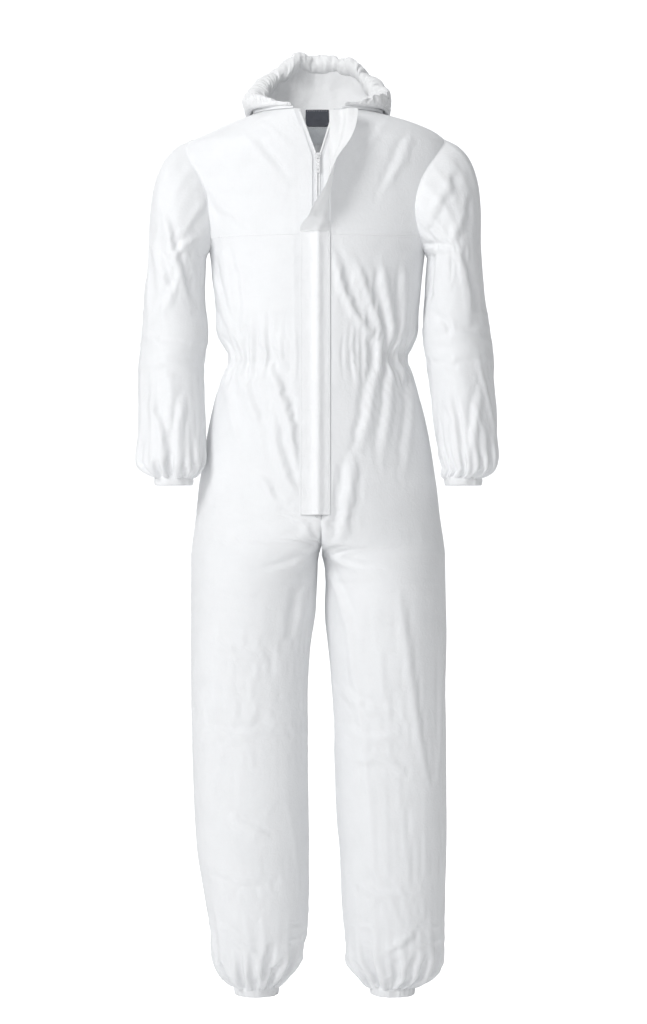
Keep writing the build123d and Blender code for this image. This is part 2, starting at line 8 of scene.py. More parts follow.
import bmesh
import bpy
import numpy as np
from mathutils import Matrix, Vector


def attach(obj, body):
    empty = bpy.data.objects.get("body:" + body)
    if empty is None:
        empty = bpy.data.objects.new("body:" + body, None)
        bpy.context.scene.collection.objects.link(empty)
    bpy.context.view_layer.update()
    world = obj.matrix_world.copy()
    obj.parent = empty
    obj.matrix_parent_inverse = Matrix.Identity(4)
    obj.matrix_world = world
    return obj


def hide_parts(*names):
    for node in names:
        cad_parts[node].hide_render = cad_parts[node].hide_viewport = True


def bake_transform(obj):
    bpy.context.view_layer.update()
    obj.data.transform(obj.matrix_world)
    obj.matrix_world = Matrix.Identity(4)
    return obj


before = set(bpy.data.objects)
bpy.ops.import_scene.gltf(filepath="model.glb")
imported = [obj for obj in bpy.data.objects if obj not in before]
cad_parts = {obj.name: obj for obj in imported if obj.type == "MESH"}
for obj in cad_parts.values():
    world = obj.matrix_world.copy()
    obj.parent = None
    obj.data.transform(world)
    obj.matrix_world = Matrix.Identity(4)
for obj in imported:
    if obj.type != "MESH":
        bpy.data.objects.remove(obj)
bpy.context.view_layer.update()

MM = 0.001
SIDE_NAMES = {-1: "right", 1: "left"}      # every "side" below is -1 or 1, its sign along X

# --------------------------------------------------------------------------------------------
# Driving dimensions
# --------------------------------------------------------------------------------------------
NECK_Z, CHEST_Z, WAIST_Z, CROTCH_Z = 1440.0, 1239.0, 1040.0, 721.0
NECK_FRONT_Y = -90.0
ZIP_FORWARD, ZIP_DROP = 35.0, 655.0        # how far the zip plane runs forwards and down
ZIP_LENGTH = math.hypot(ZIP_FORWARD, ZIP_DROP)
ZIP_UP = np.array([0.0, ZIP_FORWARD, ZIP_DROP]) / ZIP_LENGTH
ZIP_OUT = np.array([0.0, -ZIP_UP[2], ZIP_UP[1]])
ZIP_FREE_Z = 1361.0                        # the front edges part above this
NECK_SPREAD = {-1: -27.0, 1: 24.0}         # how far each edge has parted at the neck
ZIP_HALF_GAP = 9.0
SPLIT_X = 6.0                              # the plane of the rise, between the legs
TORSO_END_Z = 786.0                        # below this the torso turns into two legs
LEG_START_Z = CROTCH_Z - 40
BODY_CUT_Z = 604.0                         # where suit_half ends and leg_cloth begins
SLEEVE_CUT_Z = 1166.0
BODY_COLUMNS = 150
SLEEVE_COLUMNS = 128
SLEEVE_CAP_ROWS = 46
SLEEVE_TOP_Z = 1205.0

# Torso sections: z, x at the wearer's right, x at the left, y at the back. The front follows
# the zip plane.
TORSO = np.array([
    (z, right, left, NECK_FRONT_Y - (NECK_Z - z) * ZIP_FORWARD / ZIP_DROP, back)
    for z, right, left, back in [
        (1440, -105, 105, 85), (1428, -142, 154, 97), (1410, -182, 196, 105),
        (1392, -219, 214, 110), (1368, -229, 219, 115), (1330, -221, 213, 120),
        (1280, -206, 197, 121), (1239, -188, 183, 118), (1215, -178, 174, 115),
        (1130, -168, 165, 100), (1086, -164, 161, 90), (1040, -145, 143, 82),
        (1010, -155, 153, 87), (972, -168, 166, 98), (907, -183, 182, 112),
        (842, -193, 192, 120), (777, -201, 200, 120), (721, -207, 207, 112),
    ]
])

# Sleeve and leg sections by side: z, least x, greatest x, front y, back y.
SLEEVE = {
    -1: np.array([
        (1215, -277, -183, -74, 74), (1180, -281, -185, -71, 70), (1150, -285, -186, -68, 66),
        (1085, -288, -181, -66, 54), (1024, -292, -187, -72, 44), (950, -292, -184, -86, 22),
        (900, -294, -183, -97, 4), (870, -291, -186, -99, -6), (858, -284, -191, -95, -12),
        (850, -273, -198, -89, -19), (845.4, -264.5, -203.5, -85.5, -24.5),
    ]),
    1: np.array([
        (1215, 181, 266, -74, 74), (1180, 178, 268, -71, 70), (1150, 176, 270, -68, 66),
        (1085, 170, 279, -66, 54), (1024, 177, 286, -72, 44), (950, 187, 289, -86, 22),
        (900, 194, 290, -97, 4), (870, 199, 288, -99, -6), (858, 203, 284, -95, -12),
        (850, 200, 275, -89, -19), (845.4, 203.5, 264.5, -85.5, -24.5),
    ]),
}
LEG = {
    -1: np.array([
        (775, -203, -3, -112, 112), (721, -208, 1, -112, 112), (640, -207, -3, -106, 106),
        (567, -208, -13, -98, 96), (486, -208, -16, -90, 84), (405, -206, -16, -84, 80),
        (324, -203, -16, -80, 84), (243, -198, -16, -77, 86), (162, -186, -17, -72, 82),
        (110, -178, -22, -67, 78), (70, -171, -28, -60, 70), (42, -162, -40, -51, 58),
        (26, -150, -54, -42, 47), (14.4, -137.5, -64.5, -34.5, 38.5),
    ]),
    1: np.array([
        (775, 9, 203, -112, 112), (721, 11, 208, -112, 112), (640, 13, 209, -106, 106),
        (567, 20, 209, -98, 96), (486, 26, 209, -90, 84), (405, 29, 210, -84, 80),
        (324, 32, 210, -80, 84), (243, 36, 210, -77, 86), (162, 38, 208, -72, 82),
        (110, 42, 207, -67, 78), (70, 46, 204, -60, 70), (42, 58, 197, -51, 58),
        (26, 72, 180, -42, 47), (14.4, 85.5, 158.5, -34.5, 38.5),
    ]),
}
# From one torso to two legs: z, the torso's share of the section, inner wall's |x|.
CROTCH_PLAN = np.array([
    (880, 1.0, 48), (842, 1.0, 48), (800, 1.0, 46), (772, 0.97, 36),
    (744, 0.70, 14), (721, 0.34, 2.5), (690, 0.08, -2), (640, 0.0, -2),
])

# Creases as lines in the front view: height, width, lean (which side the valley lies on) and
# the line's (x, z) points.
BODY_CREASES = [
    (5.0, 7.0, 1, [(-155.52, 1226.34), (-149.04, 1174.5), (-140.94, 1121.04), (-137.7, 1085.4)]),
    (4.0, 6.0, 1, [(-183.06, 1215), (-168.48, 1166.4), (-149.04, 1104.84), (-126.36, 1059.48)]),
    (3.0, 6.0, 1, [(-197.64, 1195.56), (-181.44, 1134), (-155.52, 1072.44)]),
    (6.0, 7.0, 1, [(27.54, 1202.04), (37.26, 1156.68), (58.32, 1111.32), (82.62, 1078.92),
                   (105.3, 1048.14)]),
    (4.5, 6.0, 1, [(61.56, 1195.56), (77.76, 1146.96), (97.2, 1098.36), (113.4, 1056.24)]),
    (5.0, 6.0, -1, [(102.06, 1198.8), (110.16, 1142.1), (119.88, 1087.02), (123.12, 1049.76)]),
    (3.5, 6.0, -1, [(139.32, 1195.56), (139.32, 1134), (132.84, 1053)]),
    (6.5, 8.0, 1, [(-81, 1030.32), (-61.56, 984.96), (-38.88, 912.06), (-25.92, 858.6)]),
    (4.5, 6.5, 1, [(-69.66, 941.22), (-64.8, 895.86), (-50.22, 847.26), (-25.92, 813.24)]),
    (3.5, 6.0, 1, [(-100.44, 852.12), (-84.24, 835.92), (-66.42, 803.52)]),
    (4.0, 7.0, 1, [(-126.36, 1027.08), (-110.16, 972), (-90.72, 920.16)]),
    (3.0, 7.0, 1, [(-150.66, 1017.36), (-140.94, 955.8), (-126.36, 897.48)]),
    (4.5, 6.0, 1, [(-38.88, 797.04), (-24.3, 777.6), (-3.24, 737.1)]),
    (6.5, 8.0, -1, [(56.7, 881.28), (46.98, 813.24), (34.02, 735.48)]),
    (4.5, 7.0, -1, [(93.96, 1027.08), (82.62, 955.8), (68.04, 887.76)]),
    (4.0, 7.0, -1, [(119.88, 1023.84), (113.4, 949.32), (102.06, 871.56)]),
    (3.0, 7.0, -1, [(152.28, 1017.36), (150.66, 939.6), (139.32, 848.88)]),
    (4.0, 7.0, 1, [(16.2, 725.76), (51.84, 703.08), (97.2, 690.12)]),
    (4.0, 7.0, -1, [(-3.24, 724.14), (-42.12, 703.08), (-90.72, 693.36)]),
    (3.5, 7.0, 1, [(6.48, 712.8), (32.4, 664.2), (51.84, 599.4)]),
    (3.5, 7.0, -1, [(-1.62, 712.8), (-22.68, 660.96), (-35.64, 592.92)]),
    (4.0, 6.0, 1, [(-184.68, 440.64), (-139.32, 432.54), (-90.72, 439.02), (-55.08, 430.92)]),
    (2.5, 7.0, 1, [(-168.48, 583.2), (-132.84, 563.76), (-90.72, 557.28)]),
    (4.5, 6.5, 1, [(38.88, 502.2), (71.28, 476.28), (113.4, 466.56)]),
    (4.0, 6.0, 1, [(45.36, 440.64), (81, 427.68), (129.6, 432.54)]),
    (3.5, 6.5, -1, [(51.84, 388.8), (93.96, 393.66), (136.08, 379.08)]),
    (3.5, 6.0, 1, [(-136.08, 294.84), (-110.16, 285.12), (-84.24, 270.54)]),
    (3.0, 6.5, -1, [(-171.72, 213.84), (-129.6, 197.64), (-77.76, 200.88)]),
    (5.0, 6.0, 1, [(155.52, 116.64), (136.08, 97.2), (106.92, 77.76)]),
    (3.5, 6.5, 1, [(61.56, 194.4), (93.96, 174.96), (136.08, 174.96)]),
    (4.0, 6.5, 1, [(-149.04, 113.4), (-126.36, 90.72), (-90.72, 77.76)]),
    (5.0, 5.5, -1, [(-149.04, 61.56), (-139.32, 38.88), (-121.5, 16.2)]),
    (2.4, 6.0, 1, [(-116.64, 1438.56), (-81, 1412.64), (-42.12, 1377)]),
    (2.2, 7.0, 1, [(-132.84, 1419.12), (-100.44, 1377), (-51.84, 1318.68)]),
    (2.4, 6.0, -1, [(119.88, 1438.56), (93.96, 1396.44), (55.08, 1347.84)]),
    (2.6, 7.0, -1, [(155.52, 1415.88), (136.08, 1360.8), (103.68, 1302.48)]),
    (2.8, 7.0, -1, [(-181.44, 1331.64), (-155.52, 1286.28), (-116.64, 1253.88)]),
]
SLEEVE_CREASES = {
    -1: [
        (5.0, 6.5, 1, [(-251.1, 1279.8), (-239.76, 1234.44), (-221.94, 1174.5),
                       (-207.36, 1121.04)]),
        (4.0, 6.5, 1, [(-272.16, 1237.68), (-255.96, 1185.84), (-236.52, 1134)]),
        (3.5, 6.0, -1, [(-220.32, 1185.84), (-239.76, 1134), (-255.96, 1098.36)]),
        (4.5, 6.5, 1, [(-281.88, 1085.4), (-255.96, 1062.72), (-207.36, 1053)]),
        (3.5, 6.5, -1, [(-278.64, 1023.84), (-246.24, 1033.56), (-197.64, 1017.36)]),
        (3.5, 6.0, 1, [(-272.16, 972), (-255.96, 933.12), (-249.48, 881.28)]),
        (3.5, 6.0, -1, [(-217.08, 975.24), (-223.56, 933.12), (-226.8, 878.04)]),
        (3.5, 6.0, -1, [(-197.64, 1234.44), (-217.08, 1221.48), (-236.52, 1195.56)]),
    ],
    1: [
        (5.5, 6.5, 1, [(220.32, 1351.08), (207.36, 1312.2), (187.92, 1276.56),
                       (168.48, 1244.16)]),
        (4.0, 6.5, 1, [(239.76, 1312.2), (233.28, 1270.08), (213.84, 1224.72)]),
        (4.5, 6.0, 1, [(158.76, 1215), (181.44, 1216.62), (217.08, 1211.76)]),
        (7.0, 7.5, -1, [(194.4, 1211.76), (197.64, 1176.12), (192.78, 1140.48)]),
        (4.0, 6.0, 1, [(233.28, 1195.56), (243, 1150.2), (246.24, 1104.84)]),
        (4.5, 6.5, 1, [(181.44, 1104.84), (210.6, 1078.92), (259.2, 1072.44)]),
        (3.5, 6.0, -1, [(178.2, 1049.76), (217.08, 1040.04), (265.68, 1049.76)]),
        (3.5, 6.0, 1, [(207.36, 984.96), (217.08, 939.6), (223.56, 887.76)]),
        (3.5, 6.0, -1, [(262.44, 991.44), (252.72, 939.6), (246.24, 887.76)]),
    ],
}


# --------------------------------------------------------------------------------------------
# Curves and tables
# --------------------------------------------------------------------------------------------
def smoothstep(start, end, value):
    """0 before start, 1 past end, eased between; start may be the greater of the two."""
    t = np.clip((np.asarray(value, float) - start) / (end - start), 0, 1)
    return t * t * (3 - 2 * t)


def bell(value, centre, width):
    return np.exp(-((value - centre) / width) ** 2)


def hermite(t):
    """Weights of the start, the start's slope, the end and the end's slope."""
    return 2 * t**3 - 3 * t**2 + 1, t**3 - 2 * t**2 + t, -2 * t**3 + 3 * t**2, t**3 - t**2


def table_at(table, z):
    """Monotone cubic through a table's rows: an array of the other columns at each z."""
    rows = table[np.argsort(table[:, 0])]
    levels, values = rows[:, 0], rows[:, 1:]
    rise = np.diff(values, axis=0) / np.diff(levels)[:, None]
    slopes = np.empty_like(values)
    slopes[0], slopes[-1] = rise[0], rise[-1]
    product, total = rise[:-1] * rise[1:], rise[:-1] + rise[1:]
    total = np.where(np.abs(total) < 1e-12, 1e-12, total)
    slopes[1:-1] = np.where(product > 0, 2 * product / total, 0.0)
    z = np.clip(np.atleast_1d(np.asarray(z, float)), levels[0], levels[-1])
    i = np.clip(np.searchsorted(levels, z, side="right") - 1, 0, len(levels) - 2)
    step = (levels[i + 1] - levels[i])[:, None]
    start, start_slope, end, end_slope = hermite((z - levels[i])[:, None] / step)
    return (start * values[i] + start_slope * step * slopes[i]
            + end * values[i + 1] + end_slope * step * slopes[i + 1])


def oval(section):
    """Centre x, centre y, half width and half depth of a section, or of a table of them."""
    x_min, x_max, y_front, y_back = np.asarray(section).T
    return ((x_min + x_max) / 2, (y_front + y_back) / 2,
            (x_max - x_min) / 2, (y_back - y_front) / 2)


def unit(vectors):
    return vectors / np.maximum(np.linalg.norm(vectors, axis=-1, keepdims=True), 1e-9)


def lengths_along(line):
    return np.append(0, np.cumsum(np.linalg.norm(np.diff(line, axis=0), axis=1)))


def sample(values, lengths, places):
    """The rows of values, which lie at lengths along a line, interpolated at places."""
    return np.stack([np.interp(places, lengths, column) for column in values.T], 1)


def even_samples(line, count):
    lengths = lengths_along(line)
    return sample(line, lengths, np.linspace(0, lengths[-1], count))


def curve_through(points, count):
    """Even samples on a smooth curve through points."""
    points = np.asarray(points, float)
    ends = 2 * points[0] - points[1], 2 * points[-1] - points[-2]
    q = np.vstack([ends[0], points, ends[1]])
    line = []
    for i in range(1, len(q) - 2):
        before, start, end, after = q[i - 1:i + 3]
        for t in np.linspace(0, 1, 24, endpoint=False):
            line.append(0.5 * (2 * start + (end - before) * t
                               + (2 * before - 5 * start + 4 * end - after) * t**2
                               + (-before + 3 * start - 3 * end + after) * t**3))
    line.append(points[-1])
    return even_samples(np.array(line), count)


# --------------------------------------------------------------------------------------------
# Noise: smooth value noise on an integer lattice, the same every run
# --------------------------------------------------------------------------------------------
def lattice_value(ix, iy, iz, seed):
    h = (ix.astype(np.int64) * 374761393 + iy.astype(np.int64) * 668265263
         + iz.astype(np.int64) * 2147483647 + seed * 144665) & 0xFFFFFFFF
    h = ((h ^ (h >> 13)) * 1274126177) & 0xFFFFFFFF
    h = ((h ^ (h >> 16)) * 2246822519) & 0xFFFFFFFF
    return ((h ^ (h >> 15)) & 0xFFFFFF) / float(0xFFFFFF) * 2 - 1


def noise(x, y, z, seed):
    """Between -1 and 1, with lattice cells one unit across."""
    position = np.broadcast_arrays(*(np.asarray(v, float) for v in (x, y, z)))
    cell = [np.floor(v) for v in position]
    ease = []
    for v, corner in zip(position, cell):
        t = v - corner
        ease.append(t * t * t * (t * (t * 6 - 15) + 10))
    total = 0.0
    for dx in (0, 1):
        weight_x = ease[0] if dx else 1 - ease[0]
        for dy in (0, 1):
            weight_y = ease[1] if dy else 1 - ease[1]
            for dz in (0, 1):
                weight_z = ease[2] if dz else 1 - ease[2]
                value = lattice_value(cell[0] + dx, cell[1] + dy, cell[2] + dz, seed)
                total = total + weight_x * weight_y * weight_z * value
    return total


def layered_noise(x, y, z, seed):
    """Three layers of noise, each finer and half as strong as the one before."""
    total, strength, scale = 0.0, 1.0, 1.0
    for layer in range(3):
        total = total + strength * noise(x * scale, y * scale, z * scale, seed + 17 * layer)
        strength *= 0.5
        scale *= 2.03
    return total


def folds(x, y, z, seed):
    """Noise folded over at zero, which gives it sharp ridges."""
    return 1 - 2 * np.abs(noise(x, y, z, seed))


def pleats(turn, z, seed, count):
    """Gathers counted round a ring: turn runs from 0 to 1 once round."""
    angle = 2 * np.pi * turn
    radius = count / (2 * np.pi)
    u, v = radius * np.cos(angle), radius * np.sin(angle)
    wander = 0.35 * noise(u * 0.3, v * 0.3, z / 60.0, seed + 3)
    return folds(u + wander, v + wander, z / 130.0, seed)


def crease_field(x, z, creases):
    """Height of all the creases at (x, z)."""
    field = np.zeros_like(x)
    wobble = 1 + 0.25 * noise(x / 23.0, z / 23.0, 0, 5)
    for height, width, lean, points in creases:
        points = np.array(points)
        spans = np.diff(points, axis=0)
        lengths = np.linalg.norm(spans, axis=1)
        nearest = np.full(x.shape, 1e9)
        flank = np.zeros_like(x)
        along = np.zeros_like(x)
        run = 0.0
        for start, span, length in zip(points[:-1], spans, lengths):
            from_x, from_z = x - start[0], z - start[1]
            t = np.clip((from_x * span[0] + from_z * span[1]) / (length * length), 0, 1)
            distance = np.hypot(from_x - t * span[0], from_z - t * span[1])
            closer = distance < nearest
            nearest = np.where(closer, distance, nearest)
            flank = np.where(closer, np.sign(span[0] * from_z - span[1] * from_x), flank)
            along = np.where(closer, (run + t * length) / lengths.sum(), along)
            run += length
        taper = smoothstep(0, 0.22, along) * smoothstep(0, 0.3, 1 - along) * 0.85 + 0.15
        offset = nearest * flank / (width * wobble)
        ridge = 1.15 * np.exp(-(np.abs(offset) ** 1.35))
        valley = 0.8 * np.exp(-(np.abs((offset - lean * 1.6) / 0.95) ** 1.6))
        field += height * taper * (ridge - valley)
    return field


# --------------------------------------------------------------------------------------------
# Cloth solver: stretch, shear and bending on a grid, solved in turn on independent sets.
# "Across" runs along a row, "along" runs down a column.
# --------------------------------------------------------------------------------------------
STIFFNESS = 0.9
MAX_SLIDE = 14.0         # how far a point may slide along the surface
CREASE_KEEP = 0.55       # share of the start's extra length that creases keep across rows


def grid_normals(points, closed):
    across = np.roll(points, -1, 1) - np.roll(points, 1, 1)
    if not closed:
        across[:, 0] = points[:, 1] - points[:, 0]
        across[:, -1] = points[:, -1] - points[:, -2]
    along = np.empty_like(points)
    along[1:-1] = points[2:] - points[:-2]
    along[0], along[-1] = points[1] - points[0], points[-1] - points[-2]
    return unit(np.cross(across, along))


def outward_sign(base, normals):
    """1 if a tube's normals point away from its middle, else -1."""
    middle = base.mean(axis=1, keepdims=True)
    return np.sign(((base - middle) * normals)[..., :2].sum(-1).mean())


def span_lengths(points):
    """Lengths across, with the last column wrapping to the first, and along."""
    return (np.linalg.norm(np.roll(points, -1, 1) - points, axis=2),
            np.linalg.norm(points[1:] - points[:-1], axis=2))


def pull(points, free, first, second, rest, share, push_only=False):
    """Moves two sets of points, given by index, towards their rest distance."""
    gap = points[second] - points[first]
    length = np.sqrt((gap * gap).sum(-1)) + 1e-9
    excess = (length - rest) / length
    if push_only:
        excess = np.minimum(excess, 0)
    free_first, free_second = free[first], free[second]
    move = (share * excess / np.maximum(free_first + free_second, 1e-9))[..., None] * gap
    points[first] += move * free_first[..., None]
    points[second] -= move * free_second[..., None]


def relax(points, base, normals, free, goal, limit_in, limit_out, slack_across, slack_along,
          closed, steps, bend, gravity):
    """Moves points towards cloth with base's lengths, made longer by the slacks."""
    points = points.copy()
    rows, columns, _ = points.shape
    base_across, base_along = span_lengths(base)
    across = base_across * (1 + slack_across)
    along = base_along * (1 + 0.5 * (slack_along[1:] + slack_along[:-1]))
    # diagonal lengths of each cell, keeping how the base's cell leans
    following = np.roll(base, -1, 1)
    falling = np.linalg.norm(following[1:] - base[:-1], axis=2)
    rising = np.linalg.norm(base[1:] - following[:-1], axis=2)
    across_mid = 0.5 * (across[1:] + across[:-1])
    base_area = np.maximum(0.5 * (base_across[1:] + base_across[:-1]) * base_along, 1e-6)
    lean = (falling**2 - rising**2) / 4.0 * 2 * (across_mid * along) / base_area
    square = across_mid**2 + along**2
    falling_rest = np.sqrt(np.maximum(square + lean, 1e-6))
    rising_rest = np.sqrt(np.maximum(square - lean, 1e-6))

    row_pairs = []
    for first in (0, 1):
        end = first + 2 * ((rows - first) // 2)
        row_pairs.append((slice(first, end, 2), slice(first + 1, end + 1, 2)))
    spans = columns if closed else columns - 1
    left = np.arange(spans)
    right = (left + 1) % columns
    every = slice(None)
    for step in range(steps):
        for upper, lower in row_pairs:
            pull(points, free, upper, lower, along[upper], STIFFNESS)
        for first in (0, 1):
            pull(points, free, (every, left[first::2]), (every, right[first::2]),
                 across[:, left[first::2]], STIFFNESS)
        for upper, lower in row_pairs:
            pull(points, free, (upper, left), (lower, right),
                 falling_rest[upper][:, left], 0.5 * STIFFNESS)
            pull(points, free, (upper, right), (lower, left),
                 rising_rest[upper][:, left], 0.5 * STIFFNESS)
        if step % 2 == 0:
            for first in (0, 1, 2, 3):
                i = np.arange(first, rows - 2, 4)
                pull(points, free, i, i + 2, along[i] + along[i + 1], bend, push_only=True)
                j = np.arange(first, columns - 2, 4)
                pull(points, free, (every, j), (every, j + 2),
                     across[:, j] + across[:, j + 1], bend, push_only=True)
        points[..., 2] -= gravity * free
        shift = points - base
        height = (shift * normals).sum(-1)
        slide = shift - height[..., None] * normals
        slide_length = np.linalg.norm(slide, axis=2)
        slide *= (np.minimum(slide_length, MAX_SLIDE)
                  / np.maximum(slide_length, 1e-9))[..., None]
        height = np.clip(height, -limit_in, limit_out)
        height -= goal * height
        moved = base + slide + height[..., None] * normals
        points = np.where(free[..., None] > 0, moved, points)
    return points


def between(kept, count):
    """For each of count lines: the kept line before it, and how far it is to the next one."""
    place = np.interp(np.arange(count), kept, np.arange(len(kept)))
    first = np.minimum(place.astype(int), len(kept) - 2)
    return first, place - first


def drape(base, start, free, goal, limit_in, limit_out, slack_across, slack_along, closed,
          coarse_steps, fine_steps, bend, gravity):
    """Solves on every second line first, for the large folds, then on all of them."""
    rows, columns, _ = base.shape
    base_across, base_along = span_lengths(base)
    start_across, start_along = span_lengths(start)
    # creases keep some of the cloth length that they need
    extra_across = start_across / np.maximum(base_across, 1e-6) - 1
    extra_along = start_along / np.maximum(base_along, 1e-6) - 1
    extra_along = np.maximum(np.pad(extra_along, ((0, 1), (0, 0))),
                             np.pad(extra_along, ((1, 0), (0, 0))))
    fields = {
        "base": base,
        "normals": grid_normals(base, closed),
        "free": free,
        "goal": np.broadcast_to(goal, free.shape),
        "limit_in": limit_in,
        "limit_out": limit_out,
        "slack_across": np.maximum(slack_across, np.clip(CREASE_KEEP * extra_across, 0, 0.5)),
        "slack_along": np.maximum(slack_along, np.clip(0.12 * extra_along, 0, 0.1)),
    }
    cloth = {"closed": closed, "bend": bend, "gravity": gravity}
    kept_rows = np.unique(np.append(np.arange(0, rows, 2), rows - 1))
    kept_columns = np.arange(0, columns, 2)
    if not closed:
        kept_columns = np.unique(np.append(kept_columns, columns - 1))
    kept = np.ix_(kept_rows, kept_columns)
    coarse = {name: field[kept] for name, field in fields.items()}
    shift = relax(start[kept], **coarse, **cloth, steps=coarse_steps) - start[kept]
    # back to the full grid, by interpolation between the kept lines
    i, share = between(kept_rows, rows)
    share = share[:, None, None]
    shift = shift[i] * (1 - share) + shift[i + 1] * share
    j, share = between(np.append(kept_columns, columns) if closed else kept_columns, columns)
    share = share[None, :, None]
    following = (j + 1) % len(kept_columns)
    shift = shift[:, j] * (1 - share) + shift[:, following] * share
    points = start + shift * (free > 0)[..., None]
    return relax(points, **fields, **cloth, steps=fine_steps)


def soften(points, closed):
    """One smoothing pass over the inner points, to take off single-line spikes."""
    result = points.copy()
    beside = np.roll(points, 1, 1) + np.roll(points, -1, 1)
    inner = (slice(1, -1), slice(None) if closed else slice(1, -1))
    around = beside[1:-1] + points[2:] + points[:-2]
    result[inner] = 0.6 * points[inner] + 0.1 * around[:, inner[1]]
    return result


# --------------------------------------------------------------------------------------------
# Meshes
# --------------------------------------------------------------------------------------------
def add_mesh(name, points, faces, rest, material, weld=False):
    """A smooth mesh from points in mm. "rest" keeps where each lies on the smooth cloth."""
    mesh = bpy.data.meshes.new(name)
    mesh.from_pydata((points * MM).tolist(), [], faces)
    attribute = mesh.attributes.new("rest", "FLOAT_VECTOR", "POINT")
    attribute.data.foreach_set("vector", (rest * MM).astype(np.float32).ravel())
    if weld:
        sheet = bmesh.new()
        sheet.from_mesh(mesh)
        edge = [vertex for vertex in sheet.verts if vertex.is_boundary]
        bmesh.ops.remove_doubles(sheet, verts=edge, dist=0.00004)
        sheet.to_mesh(mesh)
        sheet.free()
    for polygon in mesh.polygons:
        polygon.use_smooth = True
    mesh.update()
    mesh.materials.append(material)
    piece = bpy.data.objects.new(name, mesh)
    bpy.context.scene.collection.objects.link(piece)
    return piece


def make_grid(name, grid, material, rest=None, closed=False, outward=None, weld=False):
    """A mesh from a grid of points in mm, its faces turned to the outward directions."""
    rows, columns, _ = grid.shape
    points = grid.reshape(-1, 3).astype(float)
    rest = points if rest is None else rest.reshape(-1, 3)
    index = np.arange(rows * columns).reshape(rows, columns)
    right = np.roll(index, -1, 1)
    corners = np.stack([index[:-1], index[1:], right[1:], right[:-1]], -1)
    if not closed:
        corners = corners[:, :-1]
    faces = corners.reshape(-1, 4)
    if outward is not None:
        v = points[faces]
        normals = np.cross(v[:, 2] - v[:, 0], v[:, 3] - v[:, 1])
        wanted = np.broadcast_to(outward, grid.shape).reshape(-1, 3)[faces[:, 0]]
        if (normals * wanted).sum() < 0:
            faces = faces[:, ::-1]
    return add_mesh(name, points, faces.tolist(), rest, material, weld)


def thicken(piece, thickness, offset=-1.0):
    solid = piece.modifiers.new("cloth", "SOLIDIFY")
    solid.thickness = thickness * MM
    solid.offset = offset
    solid.use_quality_normals = True


def rounded(piece):
    smooth = piece.modifiers.new("smooth", "SUBSURF")
    smooth.levels = 1
    smooth.render_levels = 1


# --------------------------------------------------------------------------------------------
# Materials
# --------------------------------------------------------------------------------------------
class Material:
    """A Principled material and short ways to add nodes to it."""

    def __init__(self, name):
        self.material = bpy.data.materials.new(name)
        self.material.use_nodes = True
        self.tree = self.material.node_tree
        self.tree.nodes.clear()
        self.output = self.node("OutputMaterial")
        self.surface = self.node("BsdfPrincipled")
        self.feed(self.output, {"Surface": self.surface.outputs[0]})

    def feed(self, node, inputs):
        """Sets a node's inputs by name or number: sockets are linked, values are stored."""
        for key, value in inputs.items():
            if isinstance(value, bpy.types.NodeSocket):
                self.tree.links.new(value, node.inputs[key])
            else:
                node.inputs[key].default_value = value

    def shade(self, inputs):
        self.feed(self.surface, inputs)

    def node(self, kind, inputs=None, **settings):
        node = self.tree.nodes.new("ShaderNode" + kind)
        for key, value in settings.items():
            setattr(node, key, value)
        self.feed(node, inputs or {})
        return node

    def rest_place(self):
        return self.node("Attribute", attribute_name="rest").outputs["Vector"]

    def object_place(self):
        return self.node("TexCoord").outputs["Object"]

    def math(self, operation, first, second):
        return self.node("Math", {0: first, 1: second}, operation=operation).outputs[0]

    def blend(self, first, first_share, second, second_share):
        """The sum of two values, each times its share."""
        return self.math("ADD", self.math("MULTIPLY", first, first_share),
                         self.math("MULTIPLY", second, second_share))

    def noise(self, vector, scale, detail=3.0, roughness=0.55, distortion=0.0):
        return self.node("TexNoise", {
            "Scale": scale, "Detail": detail, "Roughness": roughness,
            "Distortion": distortion, "Vector": vector}).outputs["Fac"]

    def bands(self, vector, direction, scale, distortion=0.0):
        return self.node("TexWave", {
            "Scale": scale, "Distortion": distortion, "Vector": vector,
        }, wave_type="BANDS", bands_direction=direction).outputs["Fac"]

    def stretch(self, vector, scale):
        return self.node("Mapping", {"Scale": scale, "Vector": vector}).outputs["Vector"]

    def remap(self, value, from_min=0.0, from_max=1.0, to_min=0.0, to_max=1.0):
        return self.node("MapRange", {
            "From Min": from_min, "From Max": from_max, "To Min": to_min, "To Max": to_max,
            "Value": value}).outputs[0]

    def ramp(self, value, *stops):
        """Colours at stops of (position, rgb)."""
        node = self.node("ValToRGB", {"Fac": value})
        elements = node.color_ramp.elements
        while len(elements) < len(stops):
            elements.new(0.5)
        for element, (position, colour) in zip(elements, stops):
            element.position = position
            element.color = (*colour, 1.0)
        return node.outputs["Color"]

    def bump(self, height, strength, distance, under=None):
        inputs = {"Strength": strength, "Distance": distance, "Height": height}
        if under is not None:
            inputs["Normal"] = under
        return self.node("Bump", inputs).outputs["Normal"]


